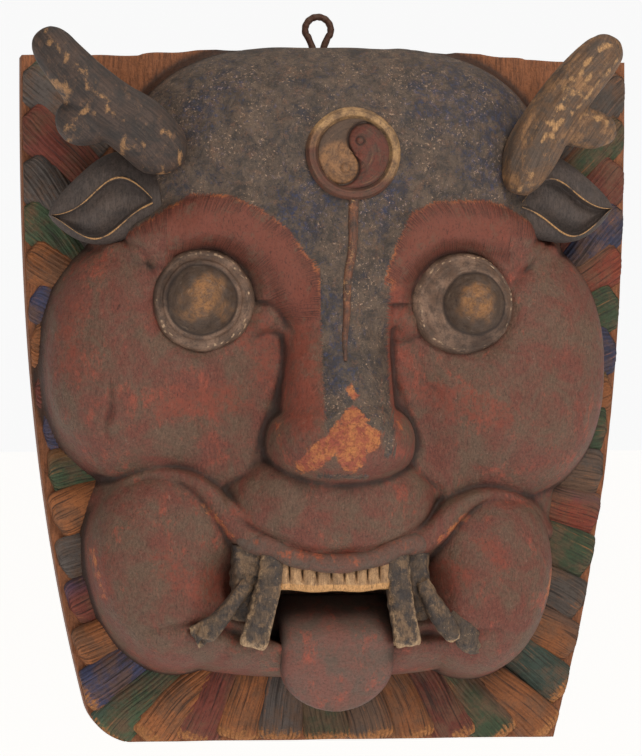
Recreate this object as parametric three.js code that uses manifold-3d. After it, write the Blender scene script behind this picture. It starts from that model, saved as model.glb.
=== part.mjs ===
// A carved and painted wall plaque of a horned guardian beast's face, built in millimetres with +Z up.
// The origin is in the middle of the flat back, which hangs against a wall in the plane y = 0, and
// the face looks along -Y. Depths are counted from the wall towards the viewer, so depth = -y.
import * as THREE from "three";
import { mergeVertices } from "three/addons/utils/BufferGeometryUtils.js";
import Module from "manifold-3d";

const wasm = await Module();
wasm.setup();

// ---- Driving dimensions ----
const BOARD_TOP = 235; // height of the plank's top edge above the origin
const BOARD_FOOT = -238; // height of its lowest edge
const BOARD_HALF_TOP = 211; // half width at the top edge
const BOARD_HALF_FOOT = 160; // half width at the foot
const BOARD_TAPER = 2.6; // power of the side's curve: straight above, drawing in towards the foot
const BOARD_EDGE = 26; // thickness of the plank at its margin
const MOUND_SIDES = 24; // points round each rounded mass of the face
const MOUND_RINGS = [1, 0.95, 0.84, 0.64, 0.34]; // its rings, as shares of its outline
const MOUND_ROOT = 8; // depth inside the plank where each mass is closed
const MERGE = 1e-4; // places nearer than this are one
const FIT_GAP = 0.7; // space left in front of the panel under each piece fixed to it

// Rounded masses of the face. x, z: middle; wide, tall: half sizes; foot, crest: depths at the rim
// and at the middle; square: power of the outline; full: power of the swell.
const SKULL = { x: 5, z: 126, wide: 147, tall: 109, foot: 30, crest: 101, square: 2.8, full: 2.8 };
const FACE_BED = { x: 0, z: -20, wide: 178, tall: 190, foot: 20, crest: 74, square: 2.4, full: 3 };
const CHEEKS = [
  { x: -120, z: 26, wide: 76, tall: 86, foot: 30, crest: 88, square: 2.3, full: 2.6 },
  { x: 116, z: 22, wide: 76, tall: 90, foot: 30, crest: 88, square: 2.3, full: 2.6 },
];
const JOWLS = [
  { x: -114, z: -118, wide: 56, tall: 69, foot: 30, crest: 98, square: 2.1, full: 2.3 },
  { x: 106, z: -126, wide: 50, tall: 66, foot: 30, crest: 96, square: 2.1, full: 2.3 },
];
const MUZZLE = { x: -5, z: -76, wide: 82, tall: 46, foot: 62, crest: 108, square: 2.4, full: 2.4 };
const CHIN = { x: -3, z: -158, wide: 118, tall: 35, foot: 30, crest: 84, square: 2.6, full: 3 };
const NOSE = { x: -2, z: -30, wide: 53, tall: 33, foot: 80, crest: 135, square: 2.2, full: 2.4 };
const BRIDGE = { x: -1, top: 128, foot: -30, half: 38, deep: 36, depth_top: 98, depth_foot: 124 };
const BROW = { radius: 21, depth: 101 };
const BROW_PATH = [
  [24, 66],
  [44, 104],
  [80, 118],
  [112, 112],
  [140, 96],
];

const EYES = [
  { x: -92, z: 65, gaze: -2, iris: 21 },
  { x: 85, z: 63, gaze: 7, iris: 20 },
];
const EYE = { radius: 35, depth: 84, bulge: 17, iris_lift: 10 };
const MEDALLION = { x: 8, z: 164, radius: 32, depth: 96, rim: 5, lift: 6, tilt: -0.13 };
const RIB = { from: [8, 134, 101], to: [1, 28, 121], half_top: 5, half_foot: 2.5, lift: 3 };

// The rolled edge of the upper lip: from over one jowl, round the teeth and up over the other one.
const LIP_RADIUS = 6.5;
const LIP_PATH = [
  [-166, -62, 56],
  [-140, -50, 74],
  [-110, -51, 86],
  [-88, -64, 92],
  [-72, -88, 93],
  [-58, -100, 97],
  [-36, -107, 104],
  [-4, -113, 108],
  [28, -108, 105],
  [50, -100, 98],
  [66, -92, 93],
  [84, -78, 90],
  [108, -64, 82],
  [134, -66, 66],
];

const MOUTH = { left: -66, right: 58, top: -108, foot: -168, floor: 46, corner: 16 };
const TEETH = { left: -42, right: 35, top: -110, foot: -131, back: 84, front: 98, count: 9, notch: 2.2 };
const TONGUE = { x: -1, half: 38, root: -146, tip: -213, depth_root: 56, depth_crest: 96, thick: 30 };
const TUSKS = [
  { from: [-45, -110, 95], to: [-58, -166, 97], wide: [7, 10.5], deep: [9, 7] },
  { from: [-62, -106, 84], to: [-64, -136, 84], wide: [11, 8], deep: [12, 9] },
  { from: [-66, -130, 88], to: [-94, -160, 96], wide: [8, 11], deep: [8, 6] },
  { from: [36, -110, 95], to: [43, -166, 97], wide: [7, 10.5], deep: [9, 7] },
  { from: [50, -106, 84], to: [53, -138, 84], wide: [9, 8], deep: [12, 9] },
  { from: [56, -130, 88], to: [78, -162, 96], wide: [8, 10], deep: [8, 6] },
];

const LOCK_COUNT = 41;
const LOCK = { width: 33, length: 78, crest: 40, valley: 20, inset: 3 };

// Antler shaped horns and leaf shaped ears, one pair of each, carved from pieces of their own.
// A horn is a run of rings: x, z, depth, half width across, half depth. The prong is another run.
const HORN_SIDES = [
  {
    name: "left_horn",
    beam: [
      [-106, 158, 84, 9, 12],
      [-112, 163, 86, 18, 19],
      [-130, 176, 88, 22, 21],
      [-152, 190, 90, 21, 20],
      [-172, 208, 92, 19, 18],
      [-187, 226, 92, 16, 15],
      [-196, 235, 91, 13, 12],
      [-202, 241, 90, 5, 5],
    ],
    prong: [
      [-148, 188, 87, 15, 13],
      [-168, 185, 87, 16, 14],
      [-181, 183, 87, 14, 12],
      [-189, 181, 87, 6, 5],
    ],
  },
  {
    name: "right_horn",
    beam: [
      [125, 140, 84, 6, 10],
      [126, 147, 86, 14, 17],
      [133, 165, 88, 20, 20],
      [145, 188, 90, 19, 19],
      [160, 210, 92, 17, 17],
      [174, 227, 92, 15, 14],
      [183, 236, 91, 12, 11],
      [188, 242, 90, 5, 5],
    ],
    prong: [
      [146, 184, 87, 12, 12],
      [168, 182, 87, 13, 12],
      [182, 180, 87, 11, 10],
      [189, 177, 87, 5, 5],
    ],
  },
];
const EARS = [
  { name: "left_ear", tip: [-196, 123], root: [-120, 134], half: 29, depth: 62, thick: 17, turn: 1 },
  { name: "right_ear", tip: [193, 130], root: [122, 134], half: 29, depth: 62, thick: 17, turn: -1 },
];
const EAR_STEPS = 12;
const EAR_SIDES = 12;
const POCKET = { start: 0.1, end: 0.92, half: 0.42, sink: 5 };

const HANGER = { x: -4, depth: 13, wire: 2.4, loop: 9, middle: 255, drop: 17, shank: 26, bore: 6.4 };

const PAINTED_WOOD = new THREE.MeshStandardMaterial({ color: 0x6e4b41, roughness: 0.7, metalness: 0 });
const HORN_PAINT = new THREE.MeshStandardMaterial({ color: 0x4b4240, roughness: 0.65, metalness: 0 });
const EAR_PAINT = new THREE.MeshStandardMaterial({ color: 0x484242, roughness: 0.7, metalness: 0 });
const IRON = new THREE.MeshStandardMaterial({ color: 0x46322a, roughness: 0.75, metalness: 0.7 });

// ---- Solids ----
function solidOf(geometry) {
  return new wasm.Manifold(
    new wasm.Mesh({
      numProp: 3,
      vertProperties: new Float32Array(geometry.attributes.position.array),
      triVerts: new Uint32Array(geometry.index.array),
    }),
  );
}

// A geometry of three.js as a solid, once only its places are left and those that agree are merged.
function bareSolid(geometry) {
  geometry.deleteAttribute("normal");
  geometry.deleteAttribute("uv");
  return solidOf(mergeVertices(geometry, MERGE));
}

function geometryOf(solid) {
  const made = solid.getMesh();
  const geometry = new THREE.BufferGeometry();
  geometry.setAttribute("position", new THREE.BufferAttribute(made.vertProperties, 3));
  geometry.setIndex(new THREE.BufferAttribute(made.triVerts, 1));
  geometry.computeVertexNormals();
  return geometry;
}

function indexed(points, faces) {
  const geometry = new THREE.BufferGeometry();
  const places = points.flatMap((point) => point.toArray());
  geometry.setAttribute("position", new THREE.Float32BufferAttribute(places, 3));
  geometry.setIndex(faces);
  return geometry;
}

// A point on the plaque from its place across, its height and its depth from the wall.
function at(x, z, depth) {
  return new THREE.Vector3(x, -depth, z);
}

// A closed body through rings of equal size. Each ring turns from the side axis to the front axis.
function loft(rings) {
  const size = rings[0].length;
  const points = rings.flat();
  const faces = [];
  for (let i = 0; i + 1 < rings.length; i++) {
    for (let j = 0; j < size; j++) {
      const next = (j + 1) % size;
      const [a, b, c, d] = [i * size + j, i * size + next, (i + 1) * size + next, (i + 1) * size + j];
      faces.push(a, b, c, a, c, d);
    }
  }
  for (const [ring, start] of [
    [rings[0], true],
    [rings[rings.length - 1], false],
  ]) {
    const base = start ? 0 : (rings.length - 1) * size;
    const middle = points.length;
    points.push(ring.reduce((sum, p) => sum.add(p), new THREE.Vector3()).divideScalar(size));
    for (let j = 0; j < size; j++) {
      const next = (j + 1) % size;
      if (start) faces.push(middle, base + next, base + j);
      else faces.push(middle, base + j, base + next);
    }
  }
  return solidOf(indexed(points, faces));
}

// A run of elliptical rings along a path whose stations are [x, z, depth, half width, half depth].
function limb(stations, sides) {
  const middles = stations.map(([x, z, depth]) => at(x, z, depth));
  const front = new THREE.Vector3(0, -1, 0);
  const rings = stations.map(([, , , wide, deep], i) => {
    const before = middles[Math.max(i - 1, 0)];
    const after = middles[Math.min(i + 1, middles.length - 1)];
    const along = after.clone().sub(before).normalize();
    const side = front.clone().cross(along).normalize();
    const out = along.clone().cross(side).normalize();
    return Array.from({ length: sides }, (_, j) => {
      const turn = (2 * Math.PI * j) / sides;
      return middles[i]
        .clone()
        .addScaledVector(side, wide * Math.cos(turn))
        .addScaledVector(out, deep * Math.sin(turn));
    });
  });
  return loft(rings);
}

// ---- The masses of the face ----
// A rounded mass: rings of its own outline, rising from the rim to the crest, closed inside the plank.
function mound(m, grow) {
  const outline = (turn) => {
    const [c, s] = [Math.cos(turn), Math.sin(turn)];
    const reach = (Math.abs(c) ** m.square + Math.abs(s) ** m.square) ** (-1 / m.square);
    return [c * reach, s * reach];
  };
  const ring = (share, depth) =>
    Array.from({ length: MOUND_SIDES }, (_, j) => {
      const [u, v] = outline((2 * Math.PI * j) / MOUND_SIDES);
      return at(m.x + m.wide * share * u, m.z + m.tall * share * v, depth);
    });
  const rise = (share) => m.foot + (m.crest - m.foot) * Math.sqrt(1 - share ** m.full) + grow;
  return loft([ring(1, MOUND_ROOT), ...MOUND_RINGS.map((share) => ring(share, rise(share)))]);
}

function bridge(grow) {
  const { x, top, foot, half, depth_top, depth_foot, deep } = BRIDGE;
  const steps = 4;
  const stations = Array.from({ length: steps + 1 }, (_, i) => {
    const t = i / steps;
    const crest = THREE.MathUtils.lerp(depth_top, depth_foot, t) + grow;
    return [x, THREE.MathUtils.lerp(top, foot, t), crest - deep, half, deep];
  });
  return limb(stations, 16);
}

// A heavy brow that runs from beside the nose, over the eye, to the root of the ear.
function brow(side, grow) {
  const level = BROW.depth - BROW.radius;
  const curve = new THREE.CatmullRomCurve3(BROW_PATH.map(([x, z]) => at(side * x, z, level)));
  const steps = 10;
  const stations = Array.from({ length: steps + 1 }, (_, i) => {
    const point = curve.getPoint(i / steps);
    const size = BROW.radius * (1 - 0.55 * Math.abs((2 * i) / steps - 1) ** 3) + grow;
    return [point.x, point.z, -point.y, size, size];
  });
  return limb(stations, 12);
}

function boardHalf(z) {
  const down = (BOARD_TOP - z) / (BOARD_TOP - BOARD_FOOT);
  return BOARD_HALF_TOP - (BOARD_HALF_TOP - BOARD_HALF_FOOT) * down ** BOARD_TAPER;
}

// The plank's outline, straight across its top and foot, pulled to the given thickness.
function plank(thickness) {
  const steps = 14;
  const heights = Array.from({ length: steps + 1 }, (_, i) => {
    return THREE.MathUtils.lerp(BOARD_FOOT, BOARD_TOP, i / steps);
  });
  const right = heights.map((z) => new THREE.Vector2(boardHalf(z), z));
  const left = right.map((p) => new THREE.Vector2(-p.x, p.y)).reverse();
  const outline = new THREE.Shape([...right, ...left]);
  const geometry = new THREE.ExtrudeGeometry(outline, { depth: thickness, bevelEnabled: false });
  geometry.rotateX(Math.PI / 2);
  return bareSolid(geometry);
}

// ---- The mane ----
// The plank's margin from its top left corner down, along the foot and up to the other corner.
function marginCurve() {
  const steps = 24;
  const left = Array.from({ length: steps }, (_, i) => {
    const z = THREE.MathUtils.lerp(BOARD_TOP - 6, BOARD_FOOT + 14, i / (steps - 1));
    return new THREE.Vector3(-boardHalf(z), 0, z);
  });
  const foot = [-130, -60, 0, 60, 130].map((x) => new THREE.Vector3(x, 0, BOARD_FOOT));
  const right = left.map((p) => new THREE.Vector3(-p.x, 0, p.z)).reverse();
  return new THREE.CatmullRomCurve3([...left, ...foot, ...right], false, "chordal");
}

// Locks point up and out beside the skull, straight out beside the cheeks and down below the jaw.
function lockLean(z, side) {
  const lean = THREE.MathUtils.lerp(-0.35, 0.85, THREE.MathUtils.smoothstep(z, -150, 190));
  return side < 0 ? Math.PI - lean : lean;
}

function lock(tip, grow) {
  const below = THREE.MathUtils.smoothstep(-tip.z, 150, 225);
  const side = Math.sign(tip.x) || 1;
  const outward = lockLean(tip.z, side);
  const down = -Math.PI / 2 + (tip.x / BOARD_HALF_FOOT) * 0.6;
  const turn = below > 0.5 ? down : outward;
  const along = new THREE.Vector2(Math.cos(turn), Math.sin(turn));
  const across = new THREE.Vector2(-along.y, along.x);
  const rings = [0, 0.4, 1].map((t) => {
    const back = LOCK.inset + LOCK.length * t;
    const half = (LOCK.width / 2) * (t === 0 ? 0.8 : 1);
    const crest = (t === 0 ? LOCK.crest - 7 : LOCK.crest) + grow;
    return [-1, -0.72, 0, 0.72, 1].map((s) => {
      const depth = s === 0 ? crest : Math.abs(s) < 1 ? crest - 4 : LOCK.valley;
      const bow = 4 * Math.sin(Math.PI * t) * side;
      return at(
        tip.x - along.x * back + across.x * (s * half + bow),
        tip.z - along.y * back + across.y * (s * half + bow),
        depth,
      );
    });
  });
  return loft(rings);
}

function mane(grow) {
  const margin = marginCurve();
  let locks = lock(margin.getPointAt(0.5 / LOCK_COUNT), grow);
  for (let k = 1; k < LOCK_COUNT; k++) {
    locks = locks.add(lock(margin.getPointAt((k + 0.5) / LOCK_COUNT), grow));
  }
  return locks.intersect(plank(LOCK.crest + grow + 1));
}

// ---- Features of the face ----
// A turned piece: a profile of [radius, height] spun about the depth axis.
function turned(profile, sides, x, z, depth, tilt = 0) {
  const geometry = new THREE.LatheGeometry(
    profile.map(([radius, height]) => new THREE.Vector2(radius, height)),
    sides,
  );
  geometry.rotateX(Math.PI + tilt);
  geometry.translate(x, -depth, z);
  return bareSolid(geometry);
}

function eye({ x, z, gaze, iris }) {
  const ball = [[0, -20], [EYE.radius, -20]];
  for (let i = 0; i <= 4; i++) {
    const turn = (i / 4) * 1.15;
    ball.push([EYE.radius * Math.cos(turn), EYE.bulge * Math.sin(turn) + 4]);
  }
  ball.push([0, EYE.bulge + 4]);
  const boss = [[0, 0], [iris, 0]];
  for (let i = 0; i <= 3; i++) {
    const turn = (i / 3) * 1.25;
    boss.push([iris * Math.cos(turn), EYE.bulge + 4 + EYE.iris_lift * Math.sin(turn)]);
  }
  boss.push([0, EYE.bulge + 4 + EYE.iris_lift]);
  return [turned(ball, 18, x, z, EYE.depth), turned(boss, 14, x + gaze, z, EYE.depth)];
}

function medallion() {
  const { x, z, radius, rim, lift, depth, tilt } = MEDALLION;
  const profile = [
    [0, -20],
    [radius, -20],
    [radius, lift - 2],
    [radius - 1.5, lift],
    [radius - rim, lift],
    [radius - rim - 1, lift - 3],
    [0, lift - 2],
  ];
  return turned(profile, 20, x, z, depth, tilt);
}

function rib() {
  const [from, to] = [RIB.from, RIB.to];
  const stations = [0, 0.33, 0.66, 1].map((t) => [
    THREE.MathUtils.lerp(from[0], to[0], t),
    THREE.MathUtils.lerp(from[1], to[1], t),
    THREE.MathUtils.lerp(from[2], to[2], t),
    THREE.MathUtils.lerp(RIB.half_top, RIB.half_foot, t),
    RIB.lift,
  ]);
  return limb(stations, 6);
}

function lip() {
  const curve = new THREE.CatmullRomCurve3(LIP_PATH.map(([x, z, depth]) => at(x, z, depth)));
  const steps = 26;
  const stations = Array.from({ length: steps + 1 }, (_, i) => {
    const point = curve.getPoint(i / steps);
    const taper = Math.min(1, 0.35 + 3 * Math.min(i, steps - i) / steps);
    return [point.x, point.z, -point.y, LIP_RADIUS * taper, LIP_RADIUS * taper];
  });
  return limb(stations, 8);
}

function mouthCut() {
  const { left, right, top, foot, corner, floor } = MOUTH;
  const outline = new THREE.Shape();
  outline.moveTo(left + corner, foot);
  outline.lineTo(right - corner, foot);
  outline.quadraticCurveTo(right, foot, right, foot + corner);
  outline.lineTo(right - 4, top);
  outline.lineTo(left + 4, top);
  outline.lineTo(left, foot + corner);
  outline.quadraticCurveTo(left, foot, left + corner, foot);
  const geometry = new THREE.ExtrudeGeometry(outline, { depth: 90, bevelEnabled: false, curveSegments: 4 });
  geometry.rotateX(Math.PI / 2);
  geometry.translate(0, -floor, 0);
  return bareSolid(geometry);
}

// The row of teeth: a curved plate whose front is notched between one tooth and the next.
function teeth() {
  const { left, right, top, foot, back, front, count, notch } = TEETH;
  const outline = new THREE.Shape();
  const pitch = (right - left) / count;
  outline.moveTo(left, back);
  outline.lineTo(right, back);
  for (let k = count; k > 0; k--) {
    const start = left + k * pitch;
    const bow = (x) => front + 4 * (1 - ((2 * (x - left)) / (right - left) - 1) ** 2);
    outline.lineTo(start, bow(start) - notch);
    outline.lineTo(start - pitch * 0.18, bow(start - pitch * 0.18));
    outline.lineTo(start - pitch * 0.82, bow(start - pitch * 0.82));
  }
  outline.lineTo(left, front - notch);
  const geometry = new THREE.ExtrudeGeometry(outline, { depth: top - foot, bevelEnabled: false });
  geometry.scale(1, -1, 1);
  geometry.translate(0, 0, foot);
  return bareSolid(turnedOutward(geometry));
}

// Scaling by a negative number turns a shape inside out, so its faces are wound the other way.
function turnedOutward(geometry) {
  const places = geometry.attributes.position;
  for (let i = 0; i < places.count; i += 3) {
    const b = new THREE.Vector3().fromBufferAttribute(places, i + 1);
    const c = new THREE.Vector3().fromBufferAttribute(places, i + 2);
    places.setXYZ(i + 1, c.x, c.y, c.z);
    places.setXYZ(i + 2, b.x, b.y, b.z);
  }
  return geometry;
}

// The tongue comes out of the mouth level by level, thick over its middle, with a round tip.
function tongue() {
  const { x, half, root, tip, depth_root, depth_crest, thick } = TONGUE;
  const steps = 8;
  const sides = 12;
  const rings = Array.from({ length: steps + 1 }, (_, i) => {
    const t = i / steps;
    const round = t < 0.55 ? 1 : Math.sqrt(Math.max(1 - ((t - 0.55) / 0.45) ** 2.2, 0.03));
    const crest = THREE.MathUtils.lerp(depth_root, depth_crest, Math.sin(Math.min(t * 1.7, 1) * 1.57));
    const deep = (thick / 2) * (0.45 + 0.55 * round);
    const level = crest - 14 * Math.max(0, t - 0.6) ** 1.5 - deep;
    return Array.from({ length: sides }, (_, j) => {
      const turn = (2 * Math.PI * j) / sides;
      const z = THREE.MathUtils.lerp(root, tip, t);
      return at(x + half * round * Math.cos(turn), z, level + deep * Math.sin(turn));
    });
  });
  return loft(rings);
}

function tusk({ from, to, wide, deep }) {
  return limb([[...from, wide[0], deep[0]], [...to, wide[1], deep[1]]], 8);
}

// ---- Pieces ----
function panelSolid(grow) {
  let solid = plank(BOARD_EDGE + grow).add(mane(grow));
  for (const mass of [SKULL, FACE_BED, ...CHEEKS, MUZZLE, CHIN, NOSE, ...JOWLS]) {
    solid = solid.add(mound(mass, grow));
  }
  for (const side of [-1, 1]) solid = solid.add(brow(side, grow));
  return solid.add(bridge(grow));
}

function panel() {
  let solid = panelSolid(0);
  solid = solid.subtract(mouthCut());
  const added = [...EYES.flatMap(eye), medallion(), rib(), lip(), teeth(), tongue(), ...TUSKS.map(tusk)];
  for (const piece of added) solid = solid.add(piece);
  return solid.subtract(hangerBore());
}

function hangerBore() {
  const geometry = new THREE.CylinderGeometry(HANGER.bore, HANGER.bore, HANGER.shank + 20, 10);
  geometry.rotateX(Math.PI / 2);
  geometry.translate(HANGER.x, -HANGER.depth, BOARD_TOP - HANGER.shank + (HANGER.shank + 20) / 2 - 0.5);
  return bareSolid(geometry);
}

// A horn's beam with its prong, cut to sit on the panel.
function horn({ beam, prong }, seat) {
  return limb(beam, 12).add(limb(prong, 10)).subtract(seat);
}

// An ear is a thick pointed leaf with a sunk hollow that narrows towards both ends.
function ear({ tip, root, half, depth, thick }, seat) {
  const start = new THREE.Vector2(...root);
  const along = new THREE.Vector2(...tip).sub(start);
  const across = new THREE.Vector2(-along.y, along.x).normalize();
  const leaf = (t) => Math.sin(Math.PI * Math.min(1, 0.12 + 0.88 * t)) ** 0.75;
  const rings = Array.from({ length: EAR_STEPS + 1 }, (_, i) => {
    const t = i / EAR_STEPS;
    const middle = start.clone().addScaledVector(along, t);
    const reach = Math.max(half * leaf(t), 1.2);
    return Array.from({ length: EAR_SIDES }, (_, j) => {
      const turn = (2 * Math.PI * j) / EAR_SIDES;
      const s = Math.cos(turn);
      const out = Math.sin(turn);
      const inside = t > POCKET.start && t < POCKET.end && out > 0 && Math.abs(s) < POCKET.half + 0.1;
      const level = depth + thick * (0.45 + 0.55 * leaf(t)) * out - (inside ? POCKET.sink : 0);
      return at(middle.x + across.x * reach * s, middle.y + across.y * reach * s, level);
    });
  });
  return loft(rings).subtract(seat);
}

// A loop of iron rod whose two legs run together into the plank's top edge.
function hanger() {
  const { x, depth, wire, loop, middle, drop, shank } = HANGER;
  const route = [new THREE.Vector3(x - 2.6, -depth, BOARD_TOP - shank + 2)];
  route.push(new THREE.Vector3(x - 2.7, -depth, BOARD_TOP + 2));
  for (let i = 0; i <= 8; i++) {
    const turn = THREE.MathUtils.lerp(-0.25, 1.25, i / 8) * Math.PI;
    route.push(new THREE.Vector3(x - loop * Math.cos(turn), -depth, middle + loop * Math.sin(turn)));
  }
  route.push(new THREE.Vector3(x + 2.7, -depth, middle - drop - 1));
  route.push(new THREE.Vector3(x + 2.6, -depth, BOARD_TOP - shank + 2));
  const curve = new THREE.CatmullRomCurve3(route);
  const section = new THREE.Shape();
  section.absarc(0, 0, wire, 0, 2 * Math.PI);
  const sweep = { extrudePath: curve, steps: 28, curveSegments: 6, bevelEnabled: false };
  return bareSolid(new THREE.ExtrudeGeometry(section, sweep));
}

function named(name, solid, material) {
  const mesh = new THREE.Mesh(geometryOf(solid), material);
  mesh.name = name;
  return mesh;
}

const plaque = new THREE.Group();
const seat = panelSolid(FIT_GAP);
plaque.add(named("carved_panel", panel(), PAINTED_WOOD));
for (const side of HORN_SIDES) plaque.add(named(side.name, horn(side, seat), HORN_PAINT));
for (const side of EARS) plaque.add(named(side.name, ear(side, seat), EAR_PAINT));
plaque.add(named("hanging_eye", hanger(), IRON));

export default plaque;
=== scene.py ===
"""Looks of a carved and painted wall plaque: the face of a horned guardian beast.

Sizes are in millimetres until a mesh is made. A place is (x, z, depth): x to the viewer's right,
z up from the middle of the back, and depth counted from the wall towards the viewer.
"""

import logging
import math
from collections.abc import Callable, Iterator, Sequence
from dataclasses import dataclass
from enum import Enum

import bpy
import numpy as np
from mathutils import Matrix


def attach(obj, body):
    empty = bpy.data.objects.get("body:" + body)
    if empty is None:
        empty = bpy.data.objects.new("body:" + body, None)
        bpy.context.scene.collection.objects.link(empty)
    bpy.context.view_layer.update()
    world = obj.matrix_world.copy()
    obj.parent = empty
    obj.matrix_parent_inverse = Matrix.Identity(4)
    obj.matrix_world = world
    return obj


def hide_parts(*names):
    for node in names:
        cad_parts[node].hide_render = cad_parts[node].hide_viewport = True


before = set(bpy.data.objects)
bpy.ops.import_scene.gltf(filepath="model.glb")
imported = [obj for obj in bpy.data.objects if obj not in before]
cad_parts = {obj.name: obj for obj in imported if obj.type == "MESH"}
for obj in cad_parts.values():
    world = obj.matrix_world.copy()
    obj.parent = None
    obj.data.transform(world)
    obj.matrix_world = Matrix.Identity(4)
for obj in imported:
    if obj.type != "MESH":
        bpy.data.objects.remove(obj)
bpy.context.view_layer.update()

Array = np.ndarray
Colour = tuple[float, float, float]
Place = tuple[float, float, float]
Spot = tuple[float, float]
Stroke = tuple[Spot, Spot, float]
Section = Callable[[Array, Array], tuple[Array, Array]]

log = logging.getLogger("plaque")

MM = 0.001
BODY = "root"


# ---------------------------------------------------------------- numbers


def smoothstep(value: Array, low: float, high: float) -> Array:
    """Rises from 0 at low to 1 at high along a cubic that is level at both ends."""
    t = np.clip((value - low) / (high - low), 0.0, 1.0)
    return t * t * (3.0 - 2.0 * t)


def swell(a: Array, b: Array, width: float) -> Array:
    """The larger of two depths, with the crease between them filled over the given width.

    Args:
        a: One field of depths.
        b: The other field.
        width: Difference of depth below which the two melt into each other.

    Returns:
        max(a, b) plus a quarter of width times the square of how near they are.
    """
    near = np.maximum(width - np.abs(a - b), 0.0) / width
    return np.maximum(a, b) + near * near * width / 4.0


def ripple(x: Array, z: Array, size: float, seed: int, waves: int = 7) -> Array:
    """Smooth unevenness: the mean of a few plane waves of random direction, in about -1 to 1.

    Args:
        x: Places across.
        z: Places up.
        size: Wavelength of the waves.
        seed: Number that fixes the random directions and phases.
        waves: How many waves are summed.

    Returns:
        The sum of sines, divided by the square root of their number.
    """
    rng = np.random.default_rng(seed)
    total = np.zeros(np.broadcast(x, z).shape)
    for turn, phase, stretch in zip(
        rng.uniform(0, 2 * np.pi, waves),
        rng.uniform(0, 2 * np.pi, waves),
        rng.uniform(0.7, 1.5, waves),
        strict=True,
    ):
        along = x * math.cos(turn) + z * math.sin(turn)
        total += np.sin(2 * np.pi * along / (size * stretch) + phase)
    return total / math.sqrt(waves)


def spline(points: Sequence[Sequence[float]], count: int) -> Array:
    """A Catmull-Rom curve through the points, with any number of values to a point.

    Args:
        points: The stations that the curve passes through.
        count: How many stations come back.

    Returns:
        An array of count rows, evenly spread over the curve's parameter.
    """
    p = np.asarray(points, float)
    p = np.vstack([2 * p[0] - p[1], p, 2 * p[-1] - p[-2]])
    t = np.linspace(0, len(p) - 3, count)
    i = np.minimum(t.astype(int), len(p) - 4)
    f = (t - i)[:, None]
    a, b, c, d = p[i], p[i + 1], p[i + 2], p[i + 3]
    return 0.5 * (2 * b + (c - a) * f + (2 * a - 5 * b + 4 * c - d) * f**2 + (3 * b - a - 3 * c + d) * f**3)


def capsule(x: Array, z: Array, a: Spot, b: Spot, reach: float) -> Array:
    """Signed distance in millimetres from a stroke between two places, above 0 within its reach."""
    step = np.array(b, float) - np.array(a, float)
    t = np.clip(((x - a[0]) * step[0] + (z - a[1]) * step[1]) / (step @ step), 0, 1)
    return reach - np.hypot(x - a[0] - t * step[0], z - a[1] - t * step[1])


def boxy(wave: Array, power: float) -> Array:
    """A sine or cosine drawn out towards a square wave by a power below 1."""
    return np.sign(wave) * np.abs(wave) ** power


def full_turn(count: int) -> Array:
    """The turns of a ring's points, as one row."""
    return np.linspace(0, 2 * np.pi, count, endpoint=False)[None, :]


def blend(a: Array | Colour, b: Array | Colour, share: Array) -> Array:
    """Two colours mixed at each place by a share of the second."""
    share = share[..., None]
    return np.asarray(a) * (1 - share) + np.asarray(b) * share


def stack(x: Array, z: Array, depth: Array | float) -> Array:
    """Places as points of the shared frame, where depth runs along -Y."""
    x, z, depth = np.broadcast_arrays(x, z, depth)
    return np.stack([x, -depth, z], axis=-1)


def blurred(values: Array, cells: int) -> Array:
    """A field smoothed by three passes of a box of 2 cells + 1 each way."""
    for _ in range(3):
        for axis in (0, 1):
            pad = [(cells + 1, cells) if a == axis else (0, 0) for a in (0, 1)]
            sums = np.cumsum(np.pad(values, pad, mode="edge"), axis=axis)
            size = values.shape[axis]
            upper = np.take(sums, np.arange(size) + 2 * cells + 1, axis=axis)
            lower = np.take(sums, np.arange(size), axis=axis)
            values = (upper - lower) / (2 * cells + 1)
    return values


# ---------------------------------------------------------------- meshes


@dataclass
class Shell:
    """One closed surface: points in millimetres, faces, and a value or colour a point for each field."""

    points: Array
    quads: Array
    tris: Array
    fields: dict[str, Array]

    def outward(self) -> "Shell":
        """The same surface with its faces turned out, told by the sign of the volume it holds."""
        p = self.points
        faces = np.vstack([self.quads[:, [0, 1, 2]], self.quads[:, [0, 2, 3]], self.tris])
        volume = np.einsum("ij,ij->i", p[faces[:, 0]], np.cross(p[faces[:, 1]], p[faces[:, 2]])).sum()
        if volume < 0:
            self.quads = self.quads[:, ::-1]
            self.tris = self.tris[:, ::-1]
        return self


def ring_shell(rings: Array, fields: dict[str, Array] | None = None) -> Shell:
    """A closed body through rings of equal size, with a fan over each end.

    Args:
        rings: Points by ring and by place on the ring.
        fields: Values by ring and by place, carried to the mesh.

    Returns:
        The body, facing out.
    """
    count, size = rings.shape[:2]
    index = np.arange(count * size).reshape(count, size)
    after = np.roll(index, -1, axis=1)
    quads = np.stack([index[:-1], after[:-1], after[1:], index[1:]], axis=-1).reshape(-1, 4)
    ends = np.array([rings[0].mean(0), rings[-1].mean(0)])
    first, last = count * size, count * size + 1
    tris = np.vstack(
        [
            np.stack([np.full(size, first), after[0], index[0]], axis=-1),
            np.stack([np.full(size, last), index[-1], after[-1]], axis=-1),
        ]
    )
    carried = {}
    for name, value in (fields or {}).items():
        flat = value.reshape(count * size, -1)
        carried[name] = np.vstack([flat, flat[:size].mean(0), flat[-size:].mean(0)])
    return Shell(np.vstack([rings.reshape(-1, 3), ends]), quads, tris, carried).outward()


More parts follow.
